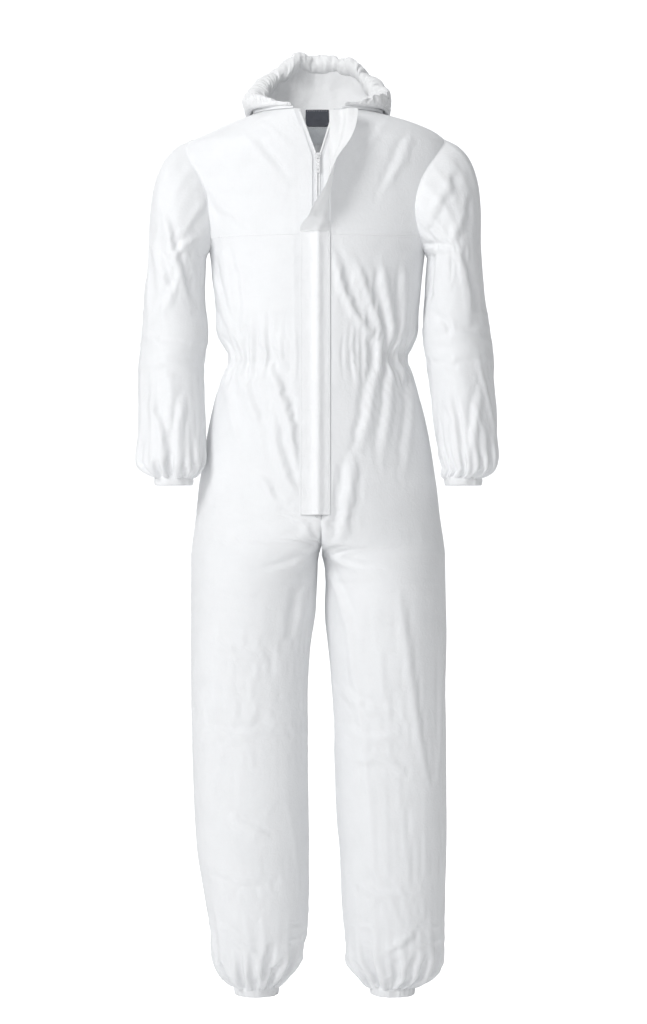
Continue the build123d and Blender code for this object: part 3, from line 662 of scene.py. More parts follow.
def nonwoven(name, tint, glow):
    """Spun laminate: random fibres pressed at bond points, mottled where the web varies.
    glow is the share of light that passes through."""
    m = Material(name)
    place = m.rest_place()
    cloud = m.noise(place, scale=28.0, detail=4.0, roughness=0.6)
    web = m.noise(place, scale=420.0, detail=3.0, roughness=0.6, distortion=0.4)
    fibre_z = m.noise(m.stretch(place, (1.0, 1.0, 0.16)),
                      scale=1500.0, detail=2.0, roughness=0.6, distortion=0.6)
    fibre_xy = m.noise(m.stretch(place, (0.18, 0.18, 1.0)),
                       scale=1300.0, detail=2.0, roughness=0.6, distortion=0.6)
    cells = m.node("TexVoronoi", {"Scale": 620.0, "Randomness": 0.35, "Vector": place})
    bond = m.remap(cells.outputs["Distance"], from_min=0.12, from_max=0.42)
    fibre = m.blend(fibre_z, 0.5, fibre_xy, 0.5)
    tone = m.math("ADD", m.math("MULTIPLY", cloud, 0.6), m.blend(web, 0.25, bond, 0.15))
    tint = np.array(tint)
    colour = m.ramp(tone, (0.25, tint * 0.935), (0.5, tint), (0.75, tint * 1.03))
    roughness = m.remap(fibre, to_min=0.46, to_max=0.68)
    # small crinkles that stay in the sheet after folding, under the finer relief
    crinkle = m.noise(place, scale=85.0, detail=5.0, roughness=0.62, distortion=0.8)
    relief = m.bump(crinkle, strength=0.32, distance=0.0022)
    relief = m.bump(cloud, strength=0.25, distance=0.0012, under=relief)
    coarse_relief = m.bump(bond, strength=0.22, distance=0.00022, under=relief)
    relief = m.bump(fibre, strength=0.25, distance=0.00012, under=coarse_relief)
    m.shade({"Base Color": colour, "Roughness": roughness, "Normal": relief,
             "Specular IOR Level": 0.35, "Sheen Weight": 0.12, "Sheen Roughness": 0.5})
    # thin cloth lets some of the light through
    through = m.node("BsdfTranslucent", {"Color": (*tint, 1), "Normal": coarse_relief})
    mix = m.node("MixShader", {
        "Fac": glow, 1: m.surface.outputs[0], 2: through.outputs[0]})
    m.feed(m.output, {"Surface": mix.outputs[0]})
    return m.material


def overlock_thread():
    m = Material("overlock_thread")
    twist = m.bands(m.rest_place(), "DIAGONAL", scale=900.0, distortion=1.0)
    m.shade({
        "Base Color": m.ramp(twist, (0.2, (0.82, 0.83, 0.85)), (0.8, (0.93, 0.93, 0.94))),
        "Roughness": 0.6,
        "Normal": m.bump(twist, strength=0.5, distance=0.0002),
    })
    return m.material


def zip_tape():
    m = Material("zip_tape_weave")
    place = m.object_place()
    weft = m.bands(place, "Z", scale=700.0)
    warp = m.bands(place, "X", scale=900.0)
    weave = m.math("MULTIPLY", weft, warp)
    cloud = m.noise(place, scale=60.0)
    tone = m.blend(weave, 0.5, cloud, 0.5)
    m.shade({
        "Base Color": m.ramp(tone, (0.15, (0.76, 0.77, 0.79)), (0.7, (0.88, 0.885, 0.895))),
        "Roughness": 0.7,
        "Normal": m.bump(weave, strength=0.5, distance=0.0003),
    })
    return m.material


def coil_nylon():
    m = Material("zip_coil_nylon")
    place = m.object_place()
    cloud = m.noise(place, scale=240.0)
    grain = m.noise(place, scale=1600.0, detail=2.0)
    tint = np.array((0.86, 0.865, 0.87))
    m.shade({
        "Base Color": m.ramp(cloud, (0.3, tint * 0.94), (0.7, tint * 1.03)),
        "Roughness": m.remap(cloud, to_min=0.28, to_max=0.50),
        "Normal": m.bump(grain, strength=0.15, distance=0.0001),
    })
    return m.material


def slider_enamel():
    """White enamel on a die-cast slider, worn through to bare metal on its edges."""
    m = Material("slider_enamel")
    place = m.object_place()
    geometry = m.node("NewGeometry")
    patches = m.noise(place, scale=900.0, detail=4.0, roughness=0.7)
    edge = m.remap(geometry.outputs["Pointiness"], from_min=0.53, from_max=0.62)
    wear = m.math("MULTIPLY", edge, m.math("GREATER_THAN", patches, 0.52))
    enamel = m.ramp(m.noise(place, scale=160.0),
                    (0.3, (0.80, 0.81, 0.82)), (0.7, (0.88, 0.885, 0.89)))
    bare_metal = (0.5, 0.5, 0.51, 1)
    mix = m.node("Mix", {"Factor": wear, "A": enamel, "B": bare_metal}, data_type="RGBA")
    m.shade({
        "Base Color": mix.outputs["Result"],
        "Metallic": wear,
        "Roughness": 0.34,
        "Normal": m.bump(patches, strength=0.12, distance=0.0001),
    })
    return m.material


def elastic_rib(name, on_rest):
    m = Material(name)
    place = m.rest_place() if on_rest else m.object_place()
    ribs = m.bands(place, "Z", scale=420.0, distortion=0.6)
    m.shade({
        "Base Color": m.ramp(ribs, (0.2, (0.66, 0.66, 0.64)), (0.8, (0.86, 0.86, 0.84))),
        "Roughness": 0.75,
        "Normal": m.bump(ribs, strength=0.6, distance=0.0004),
    })
    return m.material


def woven_label(name, dark, light):
    """Blank woven satin."""
    m = Material(name)
    place = m.rest_place()
    weft = m.bands(place, "Z", scale=900.0)
    warp = m.bands(place, "X", scale=1100.0)
    weave = m.blend(weft, 0.5, warp, 0.5)
    cloud = m.noise(place, scale=90.0)
    tone = m.blend(weave, 0.4, cloud, 0.6)
    m.shade({
        "Base Color": m.ramp(tone, (0.3, dark), (0.7, light)),
        "Roughness": 0.42,
        "Sheen Weight": 0.3,
        "Normal": m.bump(weave, strength=0.5, distance=0.0002),
    })
    return m.material


def studio_paper():
    """Pale paper that glows more to the camera than to the suit."""
    m = Material("studio_paper")
    cloud = m.noise(m.rest_place(), scale=40.0, detail=2.0)
    colour = m.ramp(cloud, (0.3, (0.90, 0.90, 0.90)), (0.7, (0.93, 0.93, 0.93)))
    ray = m.node("LightPath").outputs["Is Camera Ray"]
    m.shade({
        "Base Color": colour,
        "Roughness": 0.9,
        "Specular IOR Level": 0.1,
        "Emission Color": (1, 1, 1, 1),
        "Emission Strength": m.math("ADD", m.math("MULTIPLY", ray, 0.72), 0.10),
    })
    return m.material


SUIT_CLOTH = nonwoven("nonwoven_white", tint=(0.88, 0.888, 0.90), glow=0.12)
HOOD_CLOTH = nonwoven("nonwoven_hood", tint=(0.90, 0.905, 0.912), glow=0.14)
FLAP_CLOTH = nonwoven("nonwoven_flap", tint=(0.89, 0.897, 0.908), glow=0.06)
# the turned-open part of the flap gets a lighter copy of the flap's cloth: painted light, so that
# it reads as lit
PAINTED_LIT_FLAP_CLOTH = nonwoven("nonwoven_flap_open_painted_lit", tint=(0.92, 0.925, 0.93), glow=0.26)
THREAD = overlock_thread()
TAPE = zip_tape()
COIL = coil_nylon()
ENAMEL = slider_enamel()
CAD_ELASTIC = elastic_rib("elastic_rib", on_rest=False)
ELASTIC = elastic_rib("elastic_rib_waist", on_rest=True)
DARK_LABEL = woven_label("label_dark", dark=(0.014, 0.018, 0.03), light=(0.036, 0.042, 0.062))
GREY_LABEL = woven_label("label_grey", dark=(0.34, 0.36, 0.38), light=(0.5, 0.52, 0.54))

FRAME_MATERIALS = [
    (TAPE, ["zip_tape_right", "zip_tape_left"]),
    (COIL, ["zip_coil_right", "zip_coil_left"]),
    (ENAMEL, ["zip_bottom_stop", "zip_top_stops", "zip_slider_body", "zip_slider_bridge",
              "zip_pull_tab"]),
    (CAD_ELASTIC, ["waist_elastic", "hood_elastic", "cuff_elastic_right",
                   "cuff_elastic_left", "ankle_elastic_right", "ankle_elastic_left"]),
]


def dress_frame():
    for material, names in FRAME_MATERIALS:
        for name in names:
            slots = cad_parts[name].data.materials
            slots.clear()
            slots.append(material)


# --------------------------------------------------------------------------------------------
# Seams and stitches
# --------------------------------------------------------------------------------------------
SEAM_PITCH = 2.4         # length of one overlock loop
# Across a seam: place from edge to edge in half widths, share of the height.
SEAM_SECTION = [(-1.0, -0.4), (-0.72, 0.55), (-0.25, 1.0), (0.25, 1.0), (0.72, 0.55), (1.0, -0.4)]
# Along a stitch: place as a share of its length, share of its radius.
STITCH_PROFILE = np.array([(0, 0.15), (0.15, 0.85), (0.5, 1.0), (0.85, 0.85), (1.0, 0.15)])
STITCH_SIDES = 6


def seam_strip(name, line, normals, width, height, closed=False):
    """A low rounded welt along a line, with the waves of an overlock's loops."""
    if closed:
        line = np.vstack([line, line[:1]])
        normals = np.vstack([normals, normals[:1]])
    lengths = lengths_along(line)
    count = max(4, int(lengths[-1] / (SEAM_PITCH / 4)))
    places = np.linspace(0, lengths[-1], count)
    middle = sample(line, lengths, places)
    up = unit(sample(normals, lengths, places))
    aside = np.cross(up, unit(np.gradient(middle, axis=0)))
    loop = 0.5 + 0.5 * np.cos(2 * np.pi * places / SEAM_PITCH)
    skew = 0.15 * width * (loop - 0.5)
    columns = []
    for place, share in SEAM_SECTION:
        lift = height * share * (0.72 + 0.28 * loop if share > 0 else np.ones(count))
        columns.append(middle + aside * (place * width / 2 + skew)[:, None]
                       + up * lift[:, None])
    return make_grid(name, np.stack(columns, 1), THREAD, outward=up[:, None])


def smooth_line(line, passes=2):
    line = line.copy()
    for _ in range(passes):
        line[1:-1] = 0.5 * line[1:-1] + 0.25 * (line[2:] + line[:-2])
    return line


def stitches(name, line, normals, length=2.6, gap=1.0, radius=0.32):
    """Separate lockstitches along a line, each a small rounded bead."""
    lengths = lengths_along(line)
    rings = len(STITCH_PROFILE)
    points, faces = [], []
    for begin in np.arange(0.5, lengths[-1] - length, length + gap):
        places = begin + STITCH_PROFILE[:, 0] * length
        middle = sample(line, lengths, places)
        up = unit(sample(normals, lengths, places))
        aside = np.cross(up, unit(np.gradient(middle, axis=0)))
        first = len(points)
        for ring in range(rings):
            for corner in range(STITCH_SIDES):
                angle = 2 * math.pi * corner / STITCH_SIDES
                spoke = up[ring] * math.sin(angle) * 0.8 + aside[ring] * math.cos(angle)
                points.append(middle[ring] + spoke * radius * STITCH_PROFILE[ring, 1])
        for ring in range(rings - 1):
            near, far = first + ring * STITCH_SIDES, first + (ring + 1) * STITCH_SIDES
            for corner in range(STITCH_SIDES):
                after = (corner + 1) % STITCH_SIDES
                faces.append((near + corner, near + after, far + after, far + corner))
        last = first + (rings - 1) * STITCH_SIDES
        faces.append(tuple(first + corner for corner in reversed(range(STITCH_SIDES))))
        faces.append(tuple(last + corner for corner in range(STITCH_SIDES)))
    points = np.array(points)
    return add_mesh(name, points, faces, points, THREAD)


def folded_hem(part, side, edge, centre, profile, pleat_height, pleat_count, seed, bone):
    """A gathered ring that goes on from an edge and folds up inside, with a stitch line.
    profile: radius, z, share of the gathers."""
    word = SIDE_NAMES[side]
    centre = np.array(centre)
    spokes = edge[:, :2] - centre
    angle = np.arctan2(spokes[:, 1], spokes[:, 0])
    radii = np.linalg.norm(spokes, axis=1)
    turn = np.arange(len(edge)) / len(edge)
    ripple = (radii - radii.mean()) * 0.3 + pleat_height * pleats(turn, 0.0, seed, pleat_count)
    outward = np.stack([np.cos(angle), np.sin(angle), 0 * angle], 1)
    rows = [edge]
    for radius, z, share in profile:
        rows.append(np.array([*centre, z]) + outward * (radius + ripple * share)[:, None])
    hem = make_grid(f"{part}_hem_cloth_{word}", np.array(rows), SUIT_CLOTH, closed=True,
                    outward=outward)
    rounded(hem)
    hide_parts(f"{part}_hem_{word}")
    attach(hem, f"{bone}_{word}")
    stitch = seam_strip(f"{part}_stitch_{word}", edge + outward * 0.2, outward,
                        width=1.6, height=0.5, closed=True)
    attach(stitch, f"{bone}_{word}")


# --------------------------------------------------------------------------------------------
# Body: each half is one sheet from neck to ankle, from the front seam to the back seam, that
# closes into a leg
# --------------------------------------------------------------------------------------------
def front_edge(side, z):
    parted = np.clip((z - ZIP_FREE_Z) / (NECK_Z - ZIP_FREE_Z), 0, 1.02)
    x = side * ZIP_HALF_GAP + NECK_SPREAD[side] * parted
    torso = smoothstep(768, TORSO_END_Z, z)
    return x * torso + SPLIT_X * (1 - torso)


def back_edge(z):
    return SPLIT_X * (1 - smoothstep(780, 900, z))


def torso_outline(side, z):
    x, y, half_width, half_depth = oval(table_at(TORSO, z)[0])
    front = math.asin(np.clip((front_edge(side, z) - x) / (side * half_width), -1, 1))
    back = math.asin(np.clip((back_edge(z) - x) / (side * half_width), -1, 1))
    angle = np.linspace(front, math.pi - back, 500)
    return np.stack([x + side * half_width * np.sin(angle), y - half_depth * np.cos(angle)], 1)


def crotch_outline(side, z):
    """Between torso and leg, drawn by rays from the leg's axis and cut at the split plane."""
    share, wall = table_at(CROTCH_PLAN, z)[0]
    axis_x = side * 100.0
    count = 720
    angle = np.linspace(0, 2 * np.pi, count, endpoint=False)
    ray_x, ray_y = -side * np.cos(angle), -np.sin(angle)      # starts inwards, goes by the front

    def reach(section):
        x, y, half_width, half_depth = oval(section)
        from_x, from_y = (axis_x - x) / half_width, (0 - y) / half_depth
        step_x, step_y = ray_x / half_width, ray_y / half_depth
        a = step_x * step_x + step_y * step_y
        b = from_x * step_x + from_y * step_y
        c = from_x * from_x + from_y * from_y - 1
        return (-b + np.sqrt(b * b - a * c)) / a

    leg_reach = reach(table_at(LEG[side], min(z, 775))[0])
    torso_reach = reach(table_at(TORSO, max(z, CROTCH_Z))[0])
    inward = -side * ray_x
    wall_reach = (side * axis_x + wall) / np.maximum(inward, 1e-3)
    wall_reach = np.where(inward > 1e-3, wall_reach, 1e6)
    rounded_reach = (torso_reach ** -9.0 + wall_reach ** -9.0) ** (-1 / 9.0)
    torso_reach = np.where(inward > 1e-3, rounded_reach, torso_reach)
    radius = torso_reach * share + leg_reach * (1 - share)
    line = np.stack([axis_x + ray_x * radius, ray_y * radius], 1)
    beyond = (line[:, 0] - SPLIT_X) * side
    if not (beyond < 0).any():
        return np.vstack([line, line[:1]])
    i = np.arange(count)
    enters = (beyond >= 0) & (np.roll(beyond, 1) < 0) & (i < count // 2)
    leaves = (beyond >= 0) & (np.roll(beyond, -1) < 0) & (i > count // 2)
    first = int(np.argmax(enters))
    last = int(count - 1 - np.argmax(leaves[::-1]))

    def crossing(a, b):
        return line[a] + (line[b] - line[a]) * -beyond[a] / (beyond[b] - beyond[a])

    return np.vstack([crossing(first - 1, first), line[first:last + 1],
                      crossing(last, (last + 1) % count)])


def leg_outline(side, z):
    x, y, half_width, half_depth = oval(table_at(LEG[side], z)[0])
    angle = np.linspace(0, 2 * np.pi, 721)
    return np.stack([x - side * half_width * np.cos(angle), y - half_depth * np.sin(angle)], 1)


def body_base(side):
    """The smooth half: its row heights and its grid."""
    levels = np.concatenate([
        np.arange(1440, 1380, -3.2), np.arange(1380, 800, -4.2), np.arange(800, 700, -2.6),
        np.arange(700, 130, -4.4), np.arange(130, 14.4, -2.6), [14.4]])
    base = np.zeros((len(levels), BODY_COLUMNS, 3))
    for i, z in enumerate(levels):
        if z >= TORSO_END_Z:
            line = torso_outline(side, z)
        elif z >= LEG_START_Z:
            line = crotch_outline(side, z)
        else:
            line = leg_outline(side, z)
        base[i, :, :2] = even_samples(line, BODY_COLUMNS)
        base[i, :, 2] = z
    return levels, base


def waist_gather(x, z, front):
    """How strongly the elastic gathers the cloth: not at all across the middle of the front."""
    flat = (1 - smoothstep(38, 92, np.abs(x))) * front
    return bell(z, WAIST_Z, 40.0) * (1 - flat)


def body_relief(side, base, front):
    """Heights of the creases, gathers and faint folds that the cloth starts from."""
    x, y, z = np.moveaxis(base, -1, 0)
    column = np.linspace(0, 1, BODY_COLUMNS)
    relief = 1.4 * crease_field(x, z, BODY_CREASES) * front
    # broad unevenness, more at the hips
    broad = layered_noise(x / 95.0, z / 150.0, y / 95.0, 11 + side)
    relief += broad * (2.2 + 2.0 * bell(z, 760, 90.0)) * (1 - 0.5 * front)
    # slanting folds down the legs
    slanting = folds((x * 0.9 + side * z * 0.12) / 78.0, y / 90.0, z / 520.0, 31 + side)
    relief += 3.4 * slanting * smoothstep(700, 560, z) * smoothstep(150, 300, z)
    # level folds where the cloth slouches above the ankle, faint at the knee
    level = folds(x / 120.0 + 0.3 * noise(x / 60, z / 60, 0, 3), y / 120.0, z / 26.0, 41 + side)
    relief += level * (2.6 * smoothstep(190, 100, z) * smoothstep(20, 60, z)
                       + 0.5 * bell(z, 430, 70.0))
    # waist gathers
    gathers = folds(x / 8.8 + 0.3 * noise(z / 60.0, x / 60.0, 0, 9), z / 220.0, y / 8.8,
                    51 + side)
    relief += 5.6 * waist_gather(x, z, front) * gathers
    # long upright folds at the sides and the back
    upright = folds(x / 30.0, z / 330.0, y / 30.0, 61 + side)
    relief += (2.4 * upright * (1 - front) * smoothstep(640, 800, z)
               * (1 - smoothstep(1180, 1300, z)))
    # ankle gathers
    above_hem = smoothstep(14, 34, z)
    strength = 6.5 * above_hem * (1 - smoothstep(46, 150, z)) + 2.6 * (1 - above_hem)
    relief += strength * pleats(column, z, 71 + side, 24)
    # down to nothing at the seams; below the crotch the end columns share the inseam
    edge = np.minimum(column, 1 - column)
    relief *= np.where(z > 716, smoothstep(0, 0.035, edge) * 0.92 + 0.08 * (edge > 0), 1.0)
    inseam = 0.5 * (relief[:, 0] + relief[:, -1])
    inseam = np.where(z[:, 0] < CROTCH_Z - 4, inseam, 0)
    relief[:, 0] = inseam
    relief[:, -1] = inseam
    # the collar line and the flat strip under the flap stay put
    relief *= smoothstep(1440, 1425, z) * 0.9 + 0.1 * (z < 1439)
    from_zip = np.abs(x) + np.where(front < 0.3, 100, 0)
    return relief * np.clip(smoothstep(14, 34, from_zip) + smoothstep(785, 760, z), 0, 1)


def body_cloth(side):
    """The draped half: row heights, smooth grid, draped grid and its outward normals."""
    levels, base = body_base(side)
    normals = grid_normals(base, False)
    outward = outward_sign(base, normals)
    normals *= outward
    x, z = base[..., 0], base[..., 2]
    front = smoothstep(-0.05, 0.35, -normals[..., 1])
    start = base + normals * body_relief(side, base, front)[..., None]
    # cloth length beyond the smooth shape, at the elastics, the waist and the knee
    front_middle = (1 - smoothstep(20, 60, np.abs(x))) * front
    slack_across = (0.010 + 0.20 * waist_gather(x, z, front)
                    + 0.55 * smoothstep(120, 20, z)**2 + 0.02 * smoothstep(700, 600, z))
    slack_along = (0.004 + 0.022 * bell(z, WAIST_Z, 70.0) * (1 - 0.7 * front_middle)
                   + 0.006 * bell(z, 430, 90.0) + 0.022 * smoothstep(140, 60, z))
    free = np.ones(z.shape)
    free[[0, -1]] = 0
    free[:, [0, -1]] = 0
    # room round the arms, under the flap and between the legs
    under_flap = (front > 0.4) & (x > -34) & (x < 24) & (z > 780)
    beside_arm = (np.abs(x) > 120) & (z > 820) & (z < 1240)
    limit_out = np.where(beside_arm, 3.0, 9.0)
    limit_out = np.where((z < 650) & (side * x < 70), 5.0, limit_out)
    limit_out = np.where(under_flap, 0.25, limit_out)
    ankle = smoothstep(60, 20, z)
    limit_out = limit_out * (1 - ankle) + 8.5 * ankle
    cloth = drape(base, start, free, goal=0.012 + 0.05 * under_flap + 0.03 * (z > 1395),
                  limit_in=np.where(under_flap, 1.0, 11.0), limit_out=limit_out,
                  slack_across=slack_across, slack_along=slack_along, closed=False,
                  coarse_steps=50, fine_steps=16, bend=0.35, gravity=0.015)
    cloth = soften(cloth, closed=False)
    # two stitch grooves round the waist casing, and a low ridge at the chest yoke seam
    normals = grid_normals(cloth, False) * outward
    z = cloth[..., 2]
    gathered = waist_gather(cloth[..., 0], z, front) > 0.25
    groove = bell(z, WAIST_Z + 9, 2.6) + bell(z, WAIST_Z - 9, 2.6)
    ridge = bell(z, CHEST_Z, 2.4) * (free > 0) * (1 - under_flap)
    cloth = cloth - normals * (1.1 * groove * gathered)[..., None]
    cloth = cloth + normals * (0.9 * ridge)[..., None]
    return levels, base, cloth, normals


def blend_leg(piece):
    """Bakes the piece's placement into its points."""
    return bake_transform(piece)


# Radius, z, share of the gathers.
ANKLE_HEM = [
    (36.2, 11.0, 0.9), (35.4, 7.0, 0.75), (35.2, 3.4, 0.75), (34.6, 1.0, 0.6),
    (33.4, 0.15, 0.4), (32.3, 0.9, 0.25), (31.8, 4.0, 0.1), (31.6, 9.0, 0.05),
    (31.6, 13.0, 0.05),
]
ANKLE_X = {-1: -101.0, 1: 122.0}


def waist_elastic(word, levels, cloth, normals, replace):
    """The elastic behind the cloth, left out across the middle of the front."""
    rows = [i for i, z in enumerate(levels) if abs(z - WAIST_Z) < 8.5]
    columns = [j for j in range(BODY_COLUMNS)
               if normals[rows[0], j, 1] > -0.2 or abs(cloth[rows[0], j, 0]) > 60]
    band = np.ix_(rows, columns)
    elastic = make_grid("waist_elastic_" + word, cloth[band] - normals[band] * 1.6, ELASTIC,
                        outward=normals[band])
    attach(elastic, "suit")
    if replace:
        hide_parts("waist_elastic")


def build_half(side):
    word = SIDE_NAMES[side]
    levels, base, cloth, normals = body_cloth(side)
    cut = int(np.argmin(np.abs(levels - BODY_CUT_Z)))
    top, low = (make_grid(name + word, cloth[part], SUIT_CLOTH, rest=base[part],
                          outward=normals[part], weld=True)
                for name, part in (("suit_half_", slice(cut + 1)),
                                   ("leg_cloth_", slice(cut, None))))
    for piece in (top, low):
        rounded(piece)
    shared = ["back_yoke"] if side < 0 else []
    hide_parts(f"front_yoke_{word}", f"front_panel_{word}", f"back_panel_{word}",
                f"leg_top_{word}", *shared)
    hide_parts(f"leg_thigh_{word}", f"leg_knee_{word}", f"leg_shin_{word}")
    blend_leg(top)
    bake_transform(low)
    waist_elastic(word, levels, cloth, normals, replace=side < 0)
    folded_hem("ankle", side, cloth[-1][:-1], (ANKLE_X[side], 2.0), ANKLE_HEM,
               pleat_height=2.7, pleat_count=17, seed=171 + side, bone="shin")
    row = int(np.argmin(np.abs(levels - CHEST_Z)))
    up = normals[row][2:-1]
    seam = seam_strip("chest_seam_" + word, smooth_line(cloth[row][2:-1] + up * 0.3), up,
                      width=2.2, height=0.3)
    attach(seam, "suit")
    if side < 0:
        for name, column, top_z in (("front_rise_seam", 0, 778), ("seat_seam", -1, 1432)):
            rows = (levels > CROTCH_Z + 2) & (levels < top_z)
            up = normals[rows, column]
            seam = seam_strip(name, smooth_line(cloth[rows, column] + up * 0.2), up,
                              width=2.6, height=0.6)
            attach(seam, "suit")


# --------------------------------------------------------------------------------------------
# Sleeves: from the armhole seam on the body to the cuff. Angles round a sleeve run from 0 at
# its outer side, by the front, to half a turn at its inner side.
# --------------------------------------------------------------------------------------------
CUFF_HEM = [
    (30.8, 842.5, 0.9), (30.3, 839.0, 0.8), (30.1, 836.0, 0.7), (29.5, 833.8, 0.6),
    (28.4, 833.0, 0.4), (27.4, 833.8, 0.25), (26.8, 837, 0.1), (26.6, 843.0, 0.05),
]
CUFF_X, CUFF_Y = 234.0, -55.0


def armhole(side, angle):
    """The seam on the body: angle 0 at the shoulder point, half a turn in the armpit."""
    z = 1309.0 + 92.0 * np.cos(angle)
    half_opening = 50.0 if side < 0 else 60.0
    y = 4.0 + 4.0 * np.cos(angle) - half_opening * np.sin(angle)
    middle_x, middle_y, half_width, half_depth = oval(table_at(TORSO, z))
    share = np.sqrt(np.clip(1 - ((y - middle_y) / half_depth) ** 2, 0, 1))
    return np.stack([middle_x + side * half_width * share, y, z], 1)


def sleeve_ring(side, z, angle):
    x, y, half_width, half_depth = oval(table_at(SLEEVE[side], z)[0])
    return np.stack([x + side * half_width * np.cos(angle), y - half_depth * np.sin(angle),
                     np.full(len(angle), z)], 1)


def sleeve_base(side, angle):
    seam = armhole(side, angle)
    ring = sleeve_ring(side, SLEEVE_TOP_Z, angle)
    outer = np.cos(angle)
    top, under = np.clip(outer, 0, 1), np.clip(-outer, 0, 1)
    reach = np.linalg.norm(ring - seam, axis=1)[:, None]
    # leaves the seam outwards and over, reaches the ring going straight down
    leaving = 0.75 * reach * np.stack([
        side * (0.55 + 0.85 * top), -0.62 * np.sin(angle), -0.35 - 0.12 * top - 0.5 * under], 1)
    arriving = 0.95 * reach * np.stack([
        0.05 * side * outer, 0 * outer, -np.ones(len(angle))], 1)
    rows = []
    for t in np.linspace(0, 1, SLEEVE_CAP_ROWS):
        start, start_slope, end, end_slope = hermite(t)
        rows.append(start * seam + start_slope * leaving + end * ring + end_slope * arriving)
    levels = [*np.arange(SLEEVE_TOP_Z - 4, 880, -4.0), *np.arange(880, 846, -2.2), 845.4]
    return np.array(rows + [sleeve_ring(side, z, angle) for z in levels])


def sleeve_relief(side, base, normals, angle, row):
    x, y, z = np.moveaxis(base, -1, 0)
    front = smoothstep(-0.1, 0.35, -normals[..., 1])
    relief = 1.55 * crease_field(x, z, SLEEVE_CREASES[side]) * front
    # broad unevenness
    relief += (layered_noise(x / 60.0, z / 150.0, y / 60.0, 101 + side)
               * 3.4 * (1 - 0.3 * front))
    # slanting folds down the arm
    slanting = folds((x * 1.1 + y * side + z * 0.25) / 42.0, y / 70.0, z / 300.0, 111 + side)
    relief += 3.0 * slanting * smoothstep(1260, 1180, z) * smoothstep(880, 940, z)
    # level folds at the elbow, stronger at the front
    level = folds(x / 90.0, y / 90.0, z / 24.0, 121 + side)
    front_weight = 0.35 + 0.65 * smoothstep(0.3, -0.3, normals[..., 1])
    relief += 1.7 * level * bell(z, 1085, 62.0) * front_weight
    # cuff gathers
    above_hem = smoothstep(845, 860, z)
    strength = above_hem * (1 - smoothstep(872, 940, z)) + 0.45 * (1 - above_hem)
    turn = np.arange(SLEEVE_COLUMNS) / SLEEVE_COLUMNS
    relief += 5.2 * pleats(turn, z, 131 + side, 18) * strength
    # gathers where the cap is eased onto the armhole
    eased = folds(np.cos(angle) * 3.4 + 7, np.sin(angle) * 3.4, row / 60.0, 141 + side)
    relief += 2.6 * eased * smoothstep(0, 5, row) * (1 - smoothstep(18, 44, row))
    relief[0] = 0
    return relief


def sleeve_cloth(side):
    """The smooth grid, the draped grid and its outward normals."""
    angle = 2 * np.pi * np.arange(SLEEVE_COLUMNS) / SLEEVE_COLUMNS
    base = sleeve_base(side, angle)
    normals = grid_normals(base, True)
    normals *= outward_sign(base[60:], normals[60:])
    z = base[..., 2]
    row = np.arange(len(base))[:, None] * np.ones((1, SLEEVE_COLUMNS))
    relief = sleeve_relief(side, base, normals, angle, row)
    # cloth length beyond the smooth shape, at the cuff, the elbow and the upper arm
    slack_across = (0.015 + 0.45 * smoothstep(925, 855, z)**2
                    + 0.02 * smoothstep(1280, 1200, z))
    slack_along = 0.004 + 0.014 * bell(z, 1080, 60.0) + 0.02 * bell(z, 880, 40.0)
    # less room on the inner side, towards the body
    limit_out = np.where(row < SLEEVE_CAP_ROWS, 8.0, 7.0)
    limit_out = np.where(normals[..., 0] * side < -0.25, 2.2, limit_out)
    limit_out = np.where(z < 862, 7.0, limit_out)
    free = np.ones(z.shape)
    free[[0, -1]] = 0
    cloth = drape(base, base + normals * relief[..., None], free,
                  goal=0.010 + 0.02 * (row < 4), limit_in=np.where(z < 862, 5.0, 9.0),
                  limit_out=limit_out, slack_across=slack_across, slack_along=slack_along,
                  closed=True, coarse_steps=50, fine_steps=16, bend=0.3, gravity=0.015)
    cloth = soften(cloth, closed=True)
    cloth_normals = grid_normals(cloth, True)
    cloth_normals *= np.sign((cloth_normals * normals).sum())
    return base, cloth, cloth_normals


def build_sleeve(side):
    word = SIDE_NAMES[side]
    base, cloth, normals = sleeve_cloth(side)
    row_z = base[:, :, 2].mean(axis=1)
    in_cap = np.arange(len(row_z)) < SLEEVE_CAP_ROWS
    cut = int(np.argmin(np.abs(row_z - SLEEVE_CUT_Z) + in_cap * 1e3))
    top, low = (make_grid(name + word, cloth[part], SUIT_CLOTH, rest=base[part], closed=True,
                          outward=normals[part])
                for name, part in (("sleeve_top_", slice(cut + 1)),
                                   ("sleeve_low_", slice(cut, None))))
    for piece in (top, low):
        rounded(piece)
    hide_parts("sleeve_cap_" + word)
    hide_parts("sleeve_upper_" + word, "sleeve_elbow_" + word, "sleeve_forearm_" + word)
    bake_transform(top)
    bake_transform(low)
    seam = seam_strip("armhole_seam_" + word, cloth[0] + normals[1] * 0.1, normals[1],
                      width=2.6, height=0.5, closed=True)
    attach(seam, "suit")
    folded_hem("cuff", side, cloth[-1], (side * CUFF_X, CUFF_Y), CUFF_HEM,
               pleat_height=2.5, pleat_count=15, seed=181 + side, bone="forearm")


# --------------------------------------------------------------------------------------------
# Hood, lying down round the neck. Places on it are an angle in degrees round the neck ring,
# from 0 at the back and negative on the wearer's right, a distance out from the ring, and z.
# --------------------------------------------------------------------------------------------
RING_HALF_WIDTH, RING_HALF_DEPTH, RING_Y = 104.5, 88.0, -2.0
HOOD_ANGLES = np.linspace(-152, 152, 300)
BAG_ROWS, ROLL_ROWS = 56, 26             # rows of the hanging cloth and of the rolled hem
SECTOR_LAP = 4.5
# Middle of the rolled hem: angle, distance out, z.
HEM_LINE = np.array([
    (0, 18.0, 1547), (16, 16.0, 1543), (34, 10.5, 1522), (52, 3.0, 1497),
    (75, -4.5, 1473), (100, -3.5, 1460), (130, -2.0, 1452), (152, -0.8, 1446.5),
])
